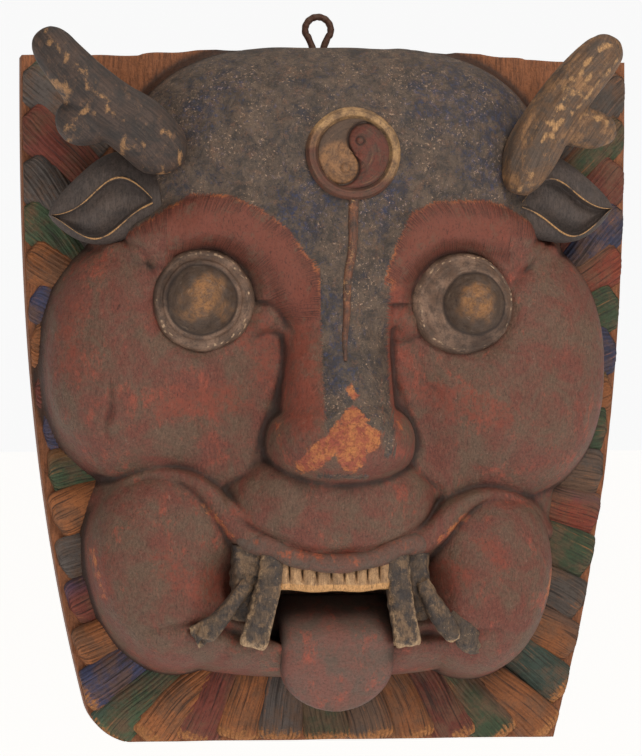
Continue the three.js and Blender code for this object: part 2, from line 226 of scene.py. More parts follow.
def joined(shells: Sequence[Shell]) -> Shell:
    """Several shells as one, each still closed."""
    offsets = np.cumsum([0] + [len(s.points) for s in shells[:-1]])
    return Shell(
        np.vstack([s.points for s in shells]),
        np.vstack([s.quads + o for s, o in zip(shells, offsets, strict=True)]),
        np.vstack([s.tris + o for s, o in zip(shells, offsets, strict=True)]),
        {name: np.vstack([s.fields[name] for s in shells]) for name in shells[0].fields},
    )


def carry(mesh: bpy.types.Mesh, label: str, value: Array) -> None:
    """Gives a mesh one value, or one colour, at each point."""
    if value.shape[1] == 3:
        rgba = np.hstack([value, np.ones((len(value), 1))])
        store = mesh.attributes.new(label, "FLOAT_COLOR", "POINT")
        store.data.foreach_set("color", rgba.astype(np.float32).ravel())
    else:
        store = mesh.attributes.new(label, "FLOAT", "POINT")
        store.data.foreach_set("value", value.astype(np.float32).ravel())


def piece(name: str, shell: Shell) -> bpy.types.Object:
    """Puts a shell into the scene as a smooth mesh in metres, with its fields as attributes."""
    mesh = bpy.data.meshes.new(name)
    mesh.vertices.add(len(shell.points))
    mesh.vertices.foreach_set("co", (shell.points * MM).astype(np.float32).ravel())
    quads, tris = len(shell.quads), len(shell.tris)
    corners = np.concatenate([shell.quads.ravel(), shell.tris.ravel()]).astype(np.int32)
    mesh.loops.add(len(corners))
    mesh.loops.foreach_set("vertex_index", corners)
    mesh.polygons.add(quads + tris)
    starts = np.concatenate([np.arange(quads) * 4, quads * 4 + np.arange(tris) * 3])
    mesh.polygons.foreach_set("loop_start", starts.astype(np.int32))
    mesh.update(calc_edges=True)
    mesh.polygons.foreach_set("use_smooth", np.ones(quads + tris, bool))
    for label, value in shell.fields.items():
        carry(mesh, label, value)
    made = bpy.data.objects.new(name, mesh)
    bpy.context.scene.collection.objects.link(made)
    log.info("%s: %d triangles", name, 2 * quads + tris)
    return made


def limb(stations: Array, section: Section, sides: int) -> tuple[Array, Array, Array]:
    """Rings along a path of stations (x, z, depth, half width, half depth), square to the path.

    Args:
        stations: One row a ring.
        section: Gives a ring's places from its turn and its share of the path, as (side, out) shares.
        sides: Points to a ring.

    Returns:
        The rings, and the turn and the share of the path at each point.
    """
    middle = stack(stations[:, 0], stations[:, 1], stations[:, 2])
    along = np.gradient(middle, axis=0)
    along /= np.linalg.norm(along, axis=1, keepdims=True)
    side = np.cross(np.array([0.0, -1.0, 0.0]), along)
    side /= np.linalg.norm(side, axis=1, keepdims=True)
    out = np.cross(along, side)
    turn = full_turn(sides)
    share = np.linspace(0, 1, len(stations))[:, None]
    across, up = section(turn, share)
    rings = (
        middle[:, None]
        + side[:, None] * (across * stations[:, 3:4])[..., None]
        + out[:, None] * (up * stations[:, 4:5])[..., None]
    )
    turn, share = np.broadcast_arrays(turn, share)
    return rings, turn, share


# ---------------------------------------------------------------- finishes


class Graph:
    """Short names for the shader nodes that the finishes are wired from."""

    def __init__(self, name: str) -> None:
        """Starts a material that holds a Principled shader and object coordinates."""
        self.material = bpy.data.materials.new(name)
        self.material.use_nodes = True
        self.tree = self.material.node_tree
        self.shader = next(n for n in self.tree.nodes if n.type == "BSDF_PRINCIPLED")
        self.place = self.tree.nodes.new("ShaderNodeTexCoord").outputs["Object"]

    def link(self, value: object, socket: bpy.types.NodeSocket) -> None:
        """Wires a socket, or sets a number or a colour."""
        if isinstance(value, bpy.types.NodeSocket):
            self.tree.links.new(value, socket)
        elif isinstance(value, tuple):
            socket.default_value = (*value, 1.0)
        else:
            socket.default_value = value

    def noise(
        self,
        size: float,
        detail: float = 6.0,
        rough: float = 0.6,
        stretch: Place = (1.0, 1.0, 1.0),
        bend: float = 0.0,
    ) -> bpy.types.NodeSocket:
        """Fractal noise whose largest blotches are size millimetres, longer along any stretched axis."""
        mapping = self.tree.nodes.new("ShaderNodeMapping")
        mapping.inputs["Scale"].default_value = tuple(1.0 / (size * MM * s) for s in stretch)
        self.link(self.place, mapping.inputs["Vector"])
        node = self.tree.nodes.new("ShaderNodeTexNoise")
        self.link(mapping.outputs["Vector"], node.inputs["Vector"])
        node.inputs["Scale"].default_value = 1.0
        node.inputs["Detail"].default_value = detail
        node.inputs["Roughness"].default_value = rough
        node.inputs["Distortion"].default_value = bend
        return node.outputs["Fac"]

    def cracks(self, size: float, thin: float) -> bpy.types.NodeSocket:
        """Thin winding lines: the borders of bent cells of that size, 1 on a line and 0 off it."""
        mapping = self.tree.nodes.new("ShaderNodeMapping")
        mapping.inputs["Scale"].default_value = (1.0 / (size * MM),) * 3
        bent = self.tree.nodes.new("ShaderNodeTexNoise")
        self.link(self.place, mapping.inputs["Vector"])
        self.link(mapping.outputs["Vector"], bent.inputs["Vector"])
        bent.inputs["Scale"].default_value = 1.3
        bent.inputs["Detail"].default_value = 5.0
        shift = self.tree.nodes.new("ShaderNodeVectorMath")
        shift.operation = "MULTIPLY_ADD"
        self.link(bent.outputs["Color"], shift.inputs[0])
        shift.inputs[1].default_value = (0.9, 0.9, 0.9)
        self.link(mapping.outputs["Vector"], shift.inputs[2])
        cell = self.tree.nodes.new("ShaderNodeTexVoronoi")
        cell.feature = "DISTANCE_TO_EDGE"
        cell.inputs["Scale"].default_value = 1.0
        self.link(shift.outputs["Vector"], cell.inputs["Vector"])
        return self.step(cell.outputs["Distance"], thin, 0.0)

    def streaks(self, wide: float, long: float, detail: float = 5.0) -> bpy.types.NodeSocket:
        """Noise drawn out along the lines that the mesh carries as "across" and "along", in millimetres."""
        node = self.tree.nodes.new("ShaderNodeCombineXYZ")
        self.link(self.maths("DIVIDE", self.read("across"), wide), node.inputs["X"])
        self.link(self.maths("DIVIDE", self.read("along"), long), node.inputs["Y"])
        field = self.tree.nodes.new("ShaderNodeTexNoise")
        self.link(node.outputs["Vector"], field.inputs["Vector"])
        field.inputs["Scale"].default_value = 1.0
        field.inputs["Detail"].default_value = detail
        field.inputs["Roughness"].default_value = 0.65
        return field.outputs["Fac"]

    def step(self, value: object, low: float, high: float) -> bpy.types.NodeSocket:
        """A soft threshold: 0 up to low and 1 from high, or the other way round."""
        node = self.tree.nodes.new("ShaderNodeMapRange")
        node.interpolation_type = "SMOOTHSTEP"
        self.link(value, node.inputs["Value"])
        flip = high < low
        node.inputs["From Min"].default_value = min(low, high)
        node.inputs["From Max"].default_value = max(low, high)
        node.inputs["To Min"].default_value = 1.0 if flip else 0.0
        node.inputs["To Max"].default_value = 0.0 if flip else 1.0
        return node.outputs["Result"]

    def maths(self, kind: str, a: object, b: object) -> bpy.types.NodeSocket:
        """One sum, product or other operation of two values."""
        node = self.tree.nodes.new("ShaderNodeMath")
        node.operation = kind
        self.link(a, node.inputs[0])
        self.link(b, node.inputs[1])
        return node.outputs[0]

    def times(self, a: object, b: object) -> bpy.types.NodeSocket:
        """The product of two values."""
        return self.maths("MULTIPLY", a, b)

    def plus(self, a: object, b: object) -> bpy.types.NodeSocket:
        """The sum of two values."""
        return self.maths("ADD", a, b)

    def mix(self, share: object, a: object, b: object, kind: str = "MIX") -> bpy.types.NodeSocket:
        """Two colours mixed by a share of the second."""
        node = self.tree.nodes.new("ShaderNodeMix")
        node.data_type = "RGBA"
        node.blend_type = kind
        self.link(share, node.inputs["Factor"])
        self.link(a, node.inputs["A"])
        self.link(b, node.inputs["B"])
        return node.outputs["Result"]

    def read(self, name: str) -> bpy.types.NodeSocket:
        """A value that the mesh carries for each point."""
        node = self.tree.nodes.new("ShaderNodeAttribute")
        node.attribute_name = name
        return node.outputs["Fac"]

    def read_colour(self, name: str) -> bpy.types.NodeSocket:
        """A colour that the mesh carries for each point."""
        node = self.tree.nodes.new("ShaderNodeAttribute")
        node.attribute_name = name
        return node.outputs["Color"]

    def emboss(self, height: object, millimetres: float, strength: float = 1.0) -> None:
        """Gives the surface a fine relief of the given height."""
        node = self.tree.nodes.new("ShaderNodeBump")
        node.inputs["Strength"].default_value = strength
        node.inputs["Distance"].default_value = millimetres * MM
        self.link(height, node.inputs["Height"])
        self.link(node.outputs["Normal"], self.shader.inputs["Normal"])


def rgb(red: int, green: int, blue: int) -> Colour:
    """A screen colour as linear light."""
    share = np.array([red, green, blue]) / 255.0
    light = np.where(share <= 0.04045, share / 12.92, ((share + 0.055) / 1.055) ** 2.4)
    return (float(light[0]), float(light[1]), float(light[2]))


class Pigment(Enum):
    """The paints of the mane."""

    SLATE = rgb(80, 76, 76)
    BLUE = rgb(54, 60, 92)
    MAROON = rgb(106, 54, 46)
    GREEN = rgb(58, 78, 58)
    OCHRE = rgb(138, 88, 54)
    RED = rgb(126, 60, 46)
    TEAL = rgb(56, 74, 70)


@dataclass(frozen=True)
class WornPaint:
    """Old matt paint on carved wood: two tones of patina, rubs of a third, chips, and painted shade with
    some grime in the hollows.

    The field "worn" shows wood through and the field "deep" darkens, as painted shade with some grime.
    Sizes are in millimetres, and a combed finish follows the fields "across" and "along".
    """

    name: str
    patina: Colour
    rub: Colour
    coat: Colour = rgb(108, 61, 50)
    wood: Colour = rgb(176, 116, 66)
    # Colour of dark specks and scratches, and of the painted shade in hollows.
    dirt_and_shade: Colour = rgb(34, 24, 20)
    patina_size: float = 26.0
    patina_share: float = 0.5
    rub_share: float = 0.35
    chip_share: float = 0.25
    crack_size: float = 0.0
    grain: Place = (1.0, 1.0, 9.0)
    combed: bool = False
    wide: float = 1.5
    long: float = 60.0
    stroke: float = 1.0
    rough: float = 0.62

    def strokes(self, g: Graph) -> bpy.types.NodeSocket:
        """Tool strokes: along the piece's own lines if it is combed, else along the grain."""
        if self.combed:
            return g.streaks(self.wide, self.long, 5.0)
        return g.noise(1.3, 6.0, 0.75, stretch=self.grain)

    def coats(self, g: Graph, coat: object) -> bpy.types.NodeSocket:
        """The paint's own colour with its patina and rubs, before wear."""
        cloud = g.noise(self.patina_size, 10.0, 0.72, bend=0.5)
        middle = 0.5 + 0.14 * (0.5 - self.patina_share)
        colour = g.mix(g.step(cloud, middle - 0.13, middle + 0.13), coat, self.patina)
        scratch = g.noise(5.0, 9.0, 0.8, stretch=(1.0, 1.0, 2.0))
        patch = g.noise(self.patina_size * 1.4, 5.0, 0.6, bend=0.9)
        rubbed = g.plus(g.times(scratch, 0.8), g.times(patch, 0.7))
        edge = 0.86 - 0.2 * self.rub_share
        colour = g.mix(g.times(g.step(rubbed, edge, edge + 0.16), 0.85), colour, self.rub)
        tone = g.mix(g.step(self.strokes(g), 0.25, 0.75), (0.5, 0.5, 0.5), (1.4, 1.4, 1.4))
        colour = g.mix(0.85 * self.stroke, colour, tone, "MULTIPLY")
        grain = g.mix(g.noise(0.9, 4.0, 0.8), (0.6, 0.6, 0.6), (1.4, 1.4, 1.4))
        return g.mix(0.8, colour, grain, "MULTIPLY")

    def grooves(self, g: Graph) -> bpy.types.NodeSocket:
        """Height of the tool strokes, from 0 to 1."""
        return self.strokes(g)

    def wear(self, g: Graph, colour: bpy.types.NodeSocket) -> bpy.types.NodeSocket:
        """Wood where the paint is gone, chips, cracks, dark specks, and painted shade with some grime over
        the given colour.
        """
        fibre = g.noise(0.9, 6.0, 0.75, stretch=self.grain)
        bare = g.mix(g.step(fibre, 0.32, 0.62), tuple(0.42 * c for c in self.wood), self.wood)
        ragged = g.plus(g.read("worn"), g.times(g.noise(4.5, 10.0, 0.8), 0.95))
        colour = g.mix(g.step(ragged, 0.88, 1.06), colour, bare)
        fleck = g.noise(2.2, 5.0, 0.85)
        edge = 0.76 - 0.12 * self.chip_share
        colour = g.mix(g.times(g.step(fleck, edge, edge + 0.07), 0.8), colour, bare)
        if self.crack_size:
            lines = g.cracks(self.crack_size, 0.035)
            where = g.step(g.noise(16.0, 5.0, 0.7), 0.48, 0.6)
            light = tuple(min(1.15 * c, 1.0) for c in self.wood)
            colour = g.mix(g.times(g.times(lines, where), 0.8), colour, light)
        speck = g.step(g.noise(1.5, 4.0, 0.7), 0.33, 0.5)
        colour = g.mix(speck, g.mix(0.35, colour, self.dirt_and_shade), colour)
        # Painted shade with some grime: the field "deep" and a noise darken the colour in hollows, creases
        # and under parts.
        shade_and_grime = g.plus(g.read("deep"), g.times(g.noise(9.0, 6.0, 0.7), 0.5))
        shade_and_grime_share = g.step(shade_and_grime, 0.3, 1.35)
        return g.mix(g.times(shade_and_grime_share, 0.85), colour, self.dirt_and_shade)

    def surface(self, g: Graph) -> None:
        """Roughness that changes with a noise, and the fine relief of brush strokes and grain."""
        dull = g.noise(14.0, 6.0, 0.6)
        g.link(g.plus(g.times(dull, 0.3), self.rough - 0.12), g.shader.inputs["Roughness"])
        g.shader.inputs["Specular IOR Level"].default_value = 0.35
        fine = g.times(self.grooves(g), 0.6 * min(1.0, 0.4 + 0.6 * self.stroke))
        height = g.plus(fine, g.times(g.noise(6.0, 8.0, 0.7), 0.6))
        g.emboss(height, 1.0, 0.8)

    def material(self) -> bpy.types.Material:
        """The finished material."""
        g = Graph(self.name)
        g.link(self.wear(g, self.coats(g, self.coat)), g.shader.inputs["Base Color"])
        self.surface(g)
        return g.material


@dataclass(frozen=True)
class FacePaint(WornPaint):
    """The face's paint: red-brown all over, with a slate skull, red brows and places of bare wood.

    The fields "slate", "brow", "plain" and "bare" are signed distances in millimetres, above 0 where they
    show; "blue" and "red" are shares, and "across" and "along" follow the combed hairs of the brows.
    """

    slate: Colour = rgb(99, 82, 69)
    slate_patina: Colour = rgb(60, 52, 47)
    brown: Colour = rgb(116, 84, 66)
    navy: Colour = rgb(46, 46, 56)
    blue: Colour = rgb(48, 56, 84)
    tan: Colour = rgb(178, 146, 120)
    pitch: Colour = rgb(34, 32, 38)
    pale: Colour = rgb(152, 122, 104)
    brow: Colour = rgb(116, 60, 46)
    plain: Colour = rgb(158, 98, 62)
    ochre: Colour = rgb(176, 102, 58)
    bare: Colour = rgb(182, 114, 66)

    def ragged(self, g: Graph, name: str, size: float, swing: float = 12.0) -> bpy.types.NodeSocket:
        """Where a zone shows, with an uneven border that swings by so many millimetres."""
        value = g.plus(g.read(name), g.times(g.noise(size, 8.0, 0.75), swing))
        return g.step(value, 0.5 * swing - 0.9, 0.5 * swing + 0.9)

    def grooves(self, g: Graph) -> bpy.types.NodeSocket:
        """The combed hairs on the brows and plain strokes elsewhere."""
        plain = g.noise(1.8, 5.0, 0.7, stretch=self.grain)
        band = g.times(g.step(g.read("brow"), -2.0, 3.0), g.step(g.read("brow"), 17.0, 9.0))
        hair = g.times(g.streaks(0.8, 20.0, 3.0), band)
        facets = g.times(g.noise(12.0, 5.0, 0.6), 3.4)
        return g.plus(g.plus(plain, facets), g.times(hair, 1.2))

    def skull(self, g: Graph) -> bpy.types.NodeSocket:
        """The skull's colour: brown slate with dark clouds, and flecks of blue, brown and tan."""
        cloud = g.noise(11.0, 10.0, 0.8, bend=0.6)
        colour = g.mix(g.step(cloud, 0.38, 0.62), self.slate_patina, self.slate)
        brown = g.step(g.noise(7.0, 8.0, 0.85), 0.52, 0.64)
        colour = g.mix(g.times(brown, 0.6), colour, self.brown)
        navy = g.step(g.plus(g.noise(9.0, 8.0, 0.8), g.times(g.read("blue"), 0.08)), 0.53, 0.64)
        colour = g.mix(g.times(navy, 0.7), colour, self.navy)
        lean = g.times(g.read("blue"), 0.06)
        spots = g.step(g.plus(g.noise(3.4, 5.0, 0.8), lean), 0.58, 0.65)
        colour = g.mix(g.times(spots, 0.7), colour, self.blue)
        sparse = g.step(g.noise(22.0, 4.0, 0.6), 0.4, 0.6)
        tan = g.times(g.step(g.noise(1.7, 3.0, 0.7), 0.58, 0.66), sparse)
        colour = g.mix(g.times(tan, 0.75), colour, self.tan)
        dark = g.step(g.noise(2.2, 4.0, 0.8), 0.42, 0.34)
        colour = g.mix(g.times(dark, 0.8), colour, self.pitch)
        dust = g.mix(g.noise(1.0, 6.0, 0.9), (0.45, 0.45, 0.45), (1.5, 1.5, 1.5))
        return g.mix(0.9, colour, dust, "MULTIPLY")

    def skin(self, g: Graph, scratch: bpy.types.NodeSocket) -> bpy.types.NodeSocket:
        """The face's own colour: the coats with redder places, dark scratches and pale scuffs."""
        colour = self.coats(g, self.coat)
        redder = g.mix(g.noise(4.0, 8.0, 0.8), tuple(0.5 * c for c in self.rub), self.rub)
        spread = g.plus(g.times(g.read("red"), 0.22), g.noise(8.0, 11.0, 0.85))
        colour = g.mix(g.times(g.step(spread, 0.56, 0.76), 0.85), colour, redder)
        colour = g.mix(g.times(g.step(scratch, 0.43, 0.36), 0.65), colour, self.dirt_and_shade)
        pale = g.step(g.noise(3.0, 9.0, 0.85, stretch=(1.0, 1.0, 2.0), bend=0.6), 0.57, 0.68)
        return g.mix(g.times(pale, 0.5), colour, self.pale)

    def browed(self, g: Graph, colour: object, scratch: object, hair: object) -> bpy.types.NodeSocket:
        """The given colour with the combed red brows over it.

        Args:
            g: The graph that is being wired.
            colour: The skin.
            scratch: Noise whose low values are dark scratches.
            hair: Noise drawn out along the hairs.

        Returns:
            The colour with the brows.
        """
        near = g.step(g.read("brow"), 17.0, 9.0)
        combed = g.times(g.step(hair, 0.62, 0.34), near)
        red = g.mix(combed, self.brow, tuple(0.4 * c for c in self.brow))
        red = g.mix(g.times(g.step(scratch, 0.46, 0.36), 0.7), red, self.dirt_and_shade)
        red = g.mix(g.step(g.noise(14.0, 8.0, 0.8), 0.5, 0.68), red, self.patina)
        fray = g.plus(g.read("brow"), g.times(hair, 10.0))
        return g.mix(g.times(g.step(fray, 3.0, 7.0), 0.85), colour, red)

    def timber(self, g: Graph) -> bpy.types.NodeSocket:
        """Unpainted wood with upright fibres and stains."""
        fibre = g.step(g.noise(1.6, 8.0, 0.75, stretch=(1.0, 1.0, 9.0)), 0.3, 0.62)
        wood = g.mix(fibre, tuple(0.35 * c for c in self.plain), self.plain)
        stain = g.noise(26.0, 8.0, 0.75, stretch=(1.0, 1.0, 4.0))
        return g.mix(0.9, wood, g.mix(stain, (0.35, 0.33, 0.32), (1.3, 1.3, 1.3)), "MULTIPLY")

    def material(self) -> bpy.types.Material:
        """The finished material."""
        g = Graph(self.name)
        scratch = g.noise(1.3, 8.0, 0.8, stretch=(1.0, 1.0, 5.0), bend=0.7)
        hair = g.streaks(0.8, 20.0, 3.0)
        colour = self.browed(g, self.skin(g, scratch), scratch, hair)
        edge = g.plus(g.read("slate"), g.times(hair, 9.0))
        rubbed = g.times(g.step(edge, 2.2, 4.0), g.step(g.noise(12.0, 8.0, 0.8), 0.44, 0.62))
        rubbed = g.times(rubbed, g.step(g.read("brow"), -6.0, -1.0))
        colour = g.mix(g.times(rubbed, 0.75), colour, self.ochre)
        colour = g.mix(g.step(edge, 4.0, 5.2), colour, self.skull(g))
        colour = g.mix(self.ragged(g, "plain", 8.0), colour, self.timber(g))
        pits = g.step(g.noise(1.9, 6.0, 0.8), 0.36, 0.54)
        tan = g.mix(g.step(g.noise(8.0, 8.0, 0.8), 0.4, 0.62), self.rub, self.bare)
        dark = tuple(0.25 * c for c in self.ochre)
        wood = g.mix(g.plus(g.times(pits, 0.65), 0.35), dark, tan)
        colour = g.mix(self.ragged(g, "bare", 7.0, 16.0), colour, wood)
        g.link(self.wear(g, colour), g.shader.inputs["Base Color"])
        self.surface(g)
        return g.material


@dataclass(frozen=True)
class ManePaint(WornPaint):
    """Paint whose coat is the field "pigment", drawn along the piece's own lines."""

    def grooves(self, g: Graph) -> bpy.types.NodeSocket:
        """Strands along the piece's own lines."""
        return g.times(g.streaks(self.wide, self.long, 4.0), 2.0 * self.stroke)

    def material(self) -> bpy.types.Material:
        """The finished material."""
        g = Graph(self.name)
        coat = g.read_colour("pigment")
        shade = g.mix(g.noise(12.0, 8.0, 0.75), (0.5, 0.48, 0.45), (1.45, 1.38, 1.3))
        coat = g.mix(1.0, coat, shade, "MULTIPLY")
        cloud = g.noise(self.patina_size, 9.0, 0.75)
        colour = g.mix(g.times(g.step(cloud, 0.42, 0.62), 0.75), coat, self.patina)
        strand = g.streaks(self.wide, self.long, 4.0)
        shadow = g.times(g.step(strand, 0.5, 0.34), self.stroke)
        colour = g.mix(g.times(shadow, 0.8), colour, self.dirt_and_shade)
        rubbed = g.times(g.step(strand, 0.56, 0.66), g.step(g.noise(14.0, 8.0, 0.75), 0.42, 0.62))
        colour = g.mix(g.times(rubbed, 0.75 * self.stroke), colour, self.rub)
        g.link(self.wear(g, colour), g.shader.inputs["Base Color"])
        self.surface(g)
        return g.material


@dataclass(frozen=True)
class ForgedIron:
    """Dark hammered iron with brown rust."""

    name: str = "forged_iron"
    bright: Colour = rgb(92, 70, 58)
    rust: Colour = rgb(74, 44, 32)

    def material(self) -> bpy.types.Material:
        """The finished material."""
        g = Graph(self.name)
        cloud = g.step(g.noise(3.0, 7.0, 0.7), 0.4, 0.6)
        g.link(g.mix(cloud, self.bright, self.rust), g.shader.inputs["Base Color"])
        g.link(g.maths("SUBTRACT", 0.75, g.times(cloud, 0.2)), g.shader.inputs["Roughness"])
        g.shader.inputs["Metallic"].default_value = 0.55
        g.emboss(g.noise(1.4, 5.0, 0.7), 0.5, 0.7)
        return g.material


# ---------------------------------------------------------------- relief


@dataclass(frozen=True)
class Mound:
    """A rounded mass on a superellipse: sqrt(1 - r ** full) of its height, where r is 1 on its outline."""

    x: float
    z: float
    wide: float
    tall: float
    foot: float
    crest: float
    square: float = 2.3
    full: float = 2.6
    turn: float = 0.0

    def reach(self, x: Array, z: Array) -> Array:
        """How far a place is from the middle, 1 on the outline."""
        c, s = math.cos(self.turn), math.sin(self.turn)
        across = np.abs((x - self.x) * c + (z - self.z) * s) / self.wide
        up = np.abs((z - self.z) * c - (x - self.x) * s) / self.tall
        return (across**self.square + up**self.square) ** (1.0 / self.square)

    def depth(self, x: Array, z: Array) -> Array:
        """Depth of the mass, falling away steeply outside its outline."""
        r = self.reach(x, z)
        rise = np.sqrt(np.maximum(1.0 - r**self.full, 0.0))
        return self.foot + (self.crest - self.foot) * rise - 300.0 * np.maximum(r - 1.0, 0.0)


@dataclass(frozen=True)
class Roll:
    """A roll along a path of (x, z, depth of its crest, radius), or a groove of (x, z, cut, radius)."""

    path: tuple[tuple[float, float, float, float], ...]

    def spans(self, x: Array, z: Array) -> Iterator[tuple[Array, Array, Array]]:
        """For each short span of the path: how far off it is, and its crest and radius nearest by."""
        line = spline(self.path, 6 * len(self.path))
        for a, b in zip(line[:-1], line[1:], strict=True):
            step = b[:2] - a[:2]
            t = np.clip(((x - a[0]) * step[0] + (z - a[1]) * step[1]) / (step @ step), 0, 1)
            away = np.hypot(x - a[0] - t * step[0], z - a[1] - t * step[1])
            yield away, a[2] + t * (b[2] - a[2]), a[3] + t * (b[3] - a[3])

    def depth(self, x: Array, z: Array) -> Array:
        """Crest depth less a circle's fall across the path, then a steep fall."""
        best = np.full(np.broadcast(x, z).shape, -1000.0)
        for away, crest, radius in self.spans(x, z):
            fall = radius - np.sqrt(np.maximum(radius**2 - away**2, 0.0))
            best = np.maximum(best, crest - fall - 3.0 * np.maximum(away - radius, 0.0))
        return best

    def groove(self, x: Array, z: Array) -> Array:
        """Depth of a cut along the path, where the third value is how deep it goes.

        It is exp(-(distance / radius) squared) of that, so it fades out a few radii away.
        """
        best = np.zeros(np.broadcast(x, z).shape)
        for away, deep, radius in self.spans(x, z):
            best = np.maximum(best, np.exp(-((away / radius) ** 2)) * deep)
        return best


@dataclass
class Relief:
    """The whole carved front as one depth for each place."""

    top: float = 235.0
    foot: float = -238.0
    half_top: float = 211.0
    half_foot: float = 160.0
    taper: float = 2.6
    corner: float = 26.0
    edge: float = 26.0
    skull: Mound = Mound(5, 126, 150, 116, 34, 101, square=2.9, full=2.9)
    bed: Mound = Mound(0, -20, 162, 168, 26, 76, square=2.6, full=3.2)
    middle: Mound = Mound(-2, -14, 128, 118, 30, 84, square=2.6, full=4.0)
    cheeks: tuple[Mound, ...] = (
        Mound(-119, 25, 76, 86, 48, 91, square=2.35, full=2.6),
        Mound(115, 20, 76, 91, 48, 91, square=2.35, full=2.6),
    )
    jowls: tuple[Mound, ...] = (
        Mound(-111, -117, 53, 69, 60, 93, square=2.15, full=3.2, turn=0.26),
        Mound(103, -128, 47, 64, 60, 92, square=2.15, full=3.2, turn=-0.26),
    )
    muzzle: Mound = Mound(-3, -76, 74, 45, 60, 109, square=2.3, full=3.2)
    chin: Mound = Mound(-3, -160, 120, 34, 30, 86, square=2.7, full=2.8)
    nose: Mound = Mound(1, -31, 52, 31, 78, 134, square=2.3, full=2.6)
    bridge: Roll = Roll(
        ((2, 132, 98, 46), (0, 90, 104, 41), (-1, 40, 111, 37), (-1, 4, 120, 38), (-1, -22, 129, 40))
    )
    brows: tuple[Roll, ...] = (
        Roll((
            (-22, 66, 101, 20), (-38, 99, 103, 21), (-68, 115, 104, 20), (-98, 115, 100, 18),
            (-128, 106, 88, 15),
        )),
        Roll((
            (24, 62, 101, 20), (36, 94, 103, 21), (60, 112, 104, 20), (90, 116, 100, 18),
            (122, 110, 88, 15),
        )),
    )
    lids: tuple[Roll, ...] = (
        Roll(((-150, 98, 68, 9), (-132, 98, 82, 9), (-116, 92, 86, 6))),
        Roll(((148, 98, 68, 9), (130, 96, 82, 9), (112, 88, 86, 6))),
    )
    rims: tuple[Roll, ...] = (
        Roll((
            (-161, -92, 56, 2.0), (-155, -72, 62, 2.0), (-142, -58, 70, 2.5), (-122, -52, 77, 3.0),
            (-104, -55, 84, 4.0), (-90, -64, 89, 6.0), (-76, -79, 93, 8.5), (-65, -92, 96, 9.0),
            (-54, -100, 98, 8.0),
        )),
        Roll((
            (150, -94, 56, 2.0), (141, -79, 62, 2.0), (126, -70, 70, 2.5), (107, -67, 79, 3.5),
            (92, -71, 86, 5.0), (78, -80, 92, 7.5), (67, -91, 95, 9.0), (57, -99, 97, 8.0),
        )),
    )
    pockets: tuple[Mound, ...] = (
        Mound(-70, -126, 24, 28, 0, 20),
        Mound(62, -128, 20, 26, 0, 17),
    )
    sockets: tuple[Spot, ...] = ((-92.0, 65.0), (85.0, 63.0))
    socket_size: float = 35.0
    socket_depth: float = 85.0
    mouth: Mound = Mound(-4, -139, 58, 29, 46, 46, square=4.0)
    inner_lids: tuple[Mound, ...] = (
        Mound(-50, 52, 15, 15, 60, 91.5, full=2.2),
        Mound(47, 49, 12, 14, 60, 90.5, full=2.2),
    )
    folds: tuple[Roll, ...] = (
        Roll((
            (-60, 38, 0.6, 2.0), (-50, 43, 2.4, 2.0), (-40, 41, 3.0, 2.2), (-36, 28, 3.2, 2.6),
            (-40, 8, 2.2, 2.2), (-50, -17, 1.4, 2.0), (-58, -44, 1.2, 2.0),
        )),
        Roll(((-58, 66, 1.4, 2.0), (-44, 60, 2.2, 2.0), (-34, 46, 1.6, 2.0), (-30, 30, 0.6, 2.0))),
        Roll((
            (36, 72, 0.8, 1.8), (37, 48, 1.4, 1.8), (38, 24, 1.6, 1.8), (40, 7, 1.8, 2.0),
            (49, -13, 1.4, 2.0), (57, -34, 1.2, 2.0),
        )),
        Roll(((38, 36, 1.6, 1.8), (47, 37, 2.4, 1.8), (57, 41, 1.4, 1.8))),
        Roll((
            (-182, 100, 1.0, 1.6), (-165, 106, 2.2, 1.8), (-147, 106, 2.6, 1.8),
            (-133, 97, 2.6, 1.8), (-124, 78, 1.4, 1.8),
        )),
        Roll((
            (168, 100, 1.0, 1.6), (155, 108, 2.2, 1.8), (148, 105, 2.6, 1.8), (139, 95, 2.6, 1.8),
            (121, 76, 1.4, 1.8),
        )),
        Roll((
            (-156, 15, 0.8, 1.4), (-155, 2, 2.8, 1.8), (-155, -10, 3.6, 2.8), (-158, -20, 2.6, 2.0),
            (-156, -27, 2.0, 3.0),
        )),
        Roll((
            (-60, -52, 1.2, 2.0), (-76, -62, 2.8, 2.4), (-72, -80, 2.8, 2.4), (-52, -92, 2.4, 2.0),
            (-30, -100, 1.8, 1.6),
        )),
        Roll((
            (58, -54, 1.2, 2.0), (72, -66, 2.8, 2.4), (62, -82, 2.8, 2.4), (44, -94, 2.4, 2.0),
            (26, -101, 1.8, 1.6),
        )),
        Roll(((-34, -101, 1.4, 1.4), (-4, -104.5, 1.8, 1.4), (28, -101, 1.4, 1.4))),
        Roll((
            (-134, -158, 0.6, 1.6), (-106, -155, 4.0, 3.0), (-84, -156, 6.0, 4.0),
            (-66, -161, 6.0, 4.0), (-40, -166, 4.0, 3.0),
        )),
        Roll(((38, -166, 4.0, 3.0), (60, -162, 6.0, 4.0), (84, -162, 4.0, 3.0), (112, -158, 0.8, 1.6))),
    )

    def half(self, z: Array, side: Array | float = 1.0) -> Array:
        """Half width of the plank at a height: it draws in towards the foot by a power of the way down.

        Args:
            z: Height.
            side: Below 0 on the left, where the foot's corner is rounded off.

        Returns:
            The distance from the middle to the plank's edge.
        """
        down = np.clip((self.top - z) / (self.top - self.foot), 0, 1)
        low = np.clip((self.foot + self.corner - z) / self.corner, 0, 1)
        cut = self.corner * (1 - np.sqrt(1 - 0.98 * low**2)) * (np.asarray(side) < 0)
        return self.half_top - (self.half_top - self.half_foot) * down**self.taper - cut

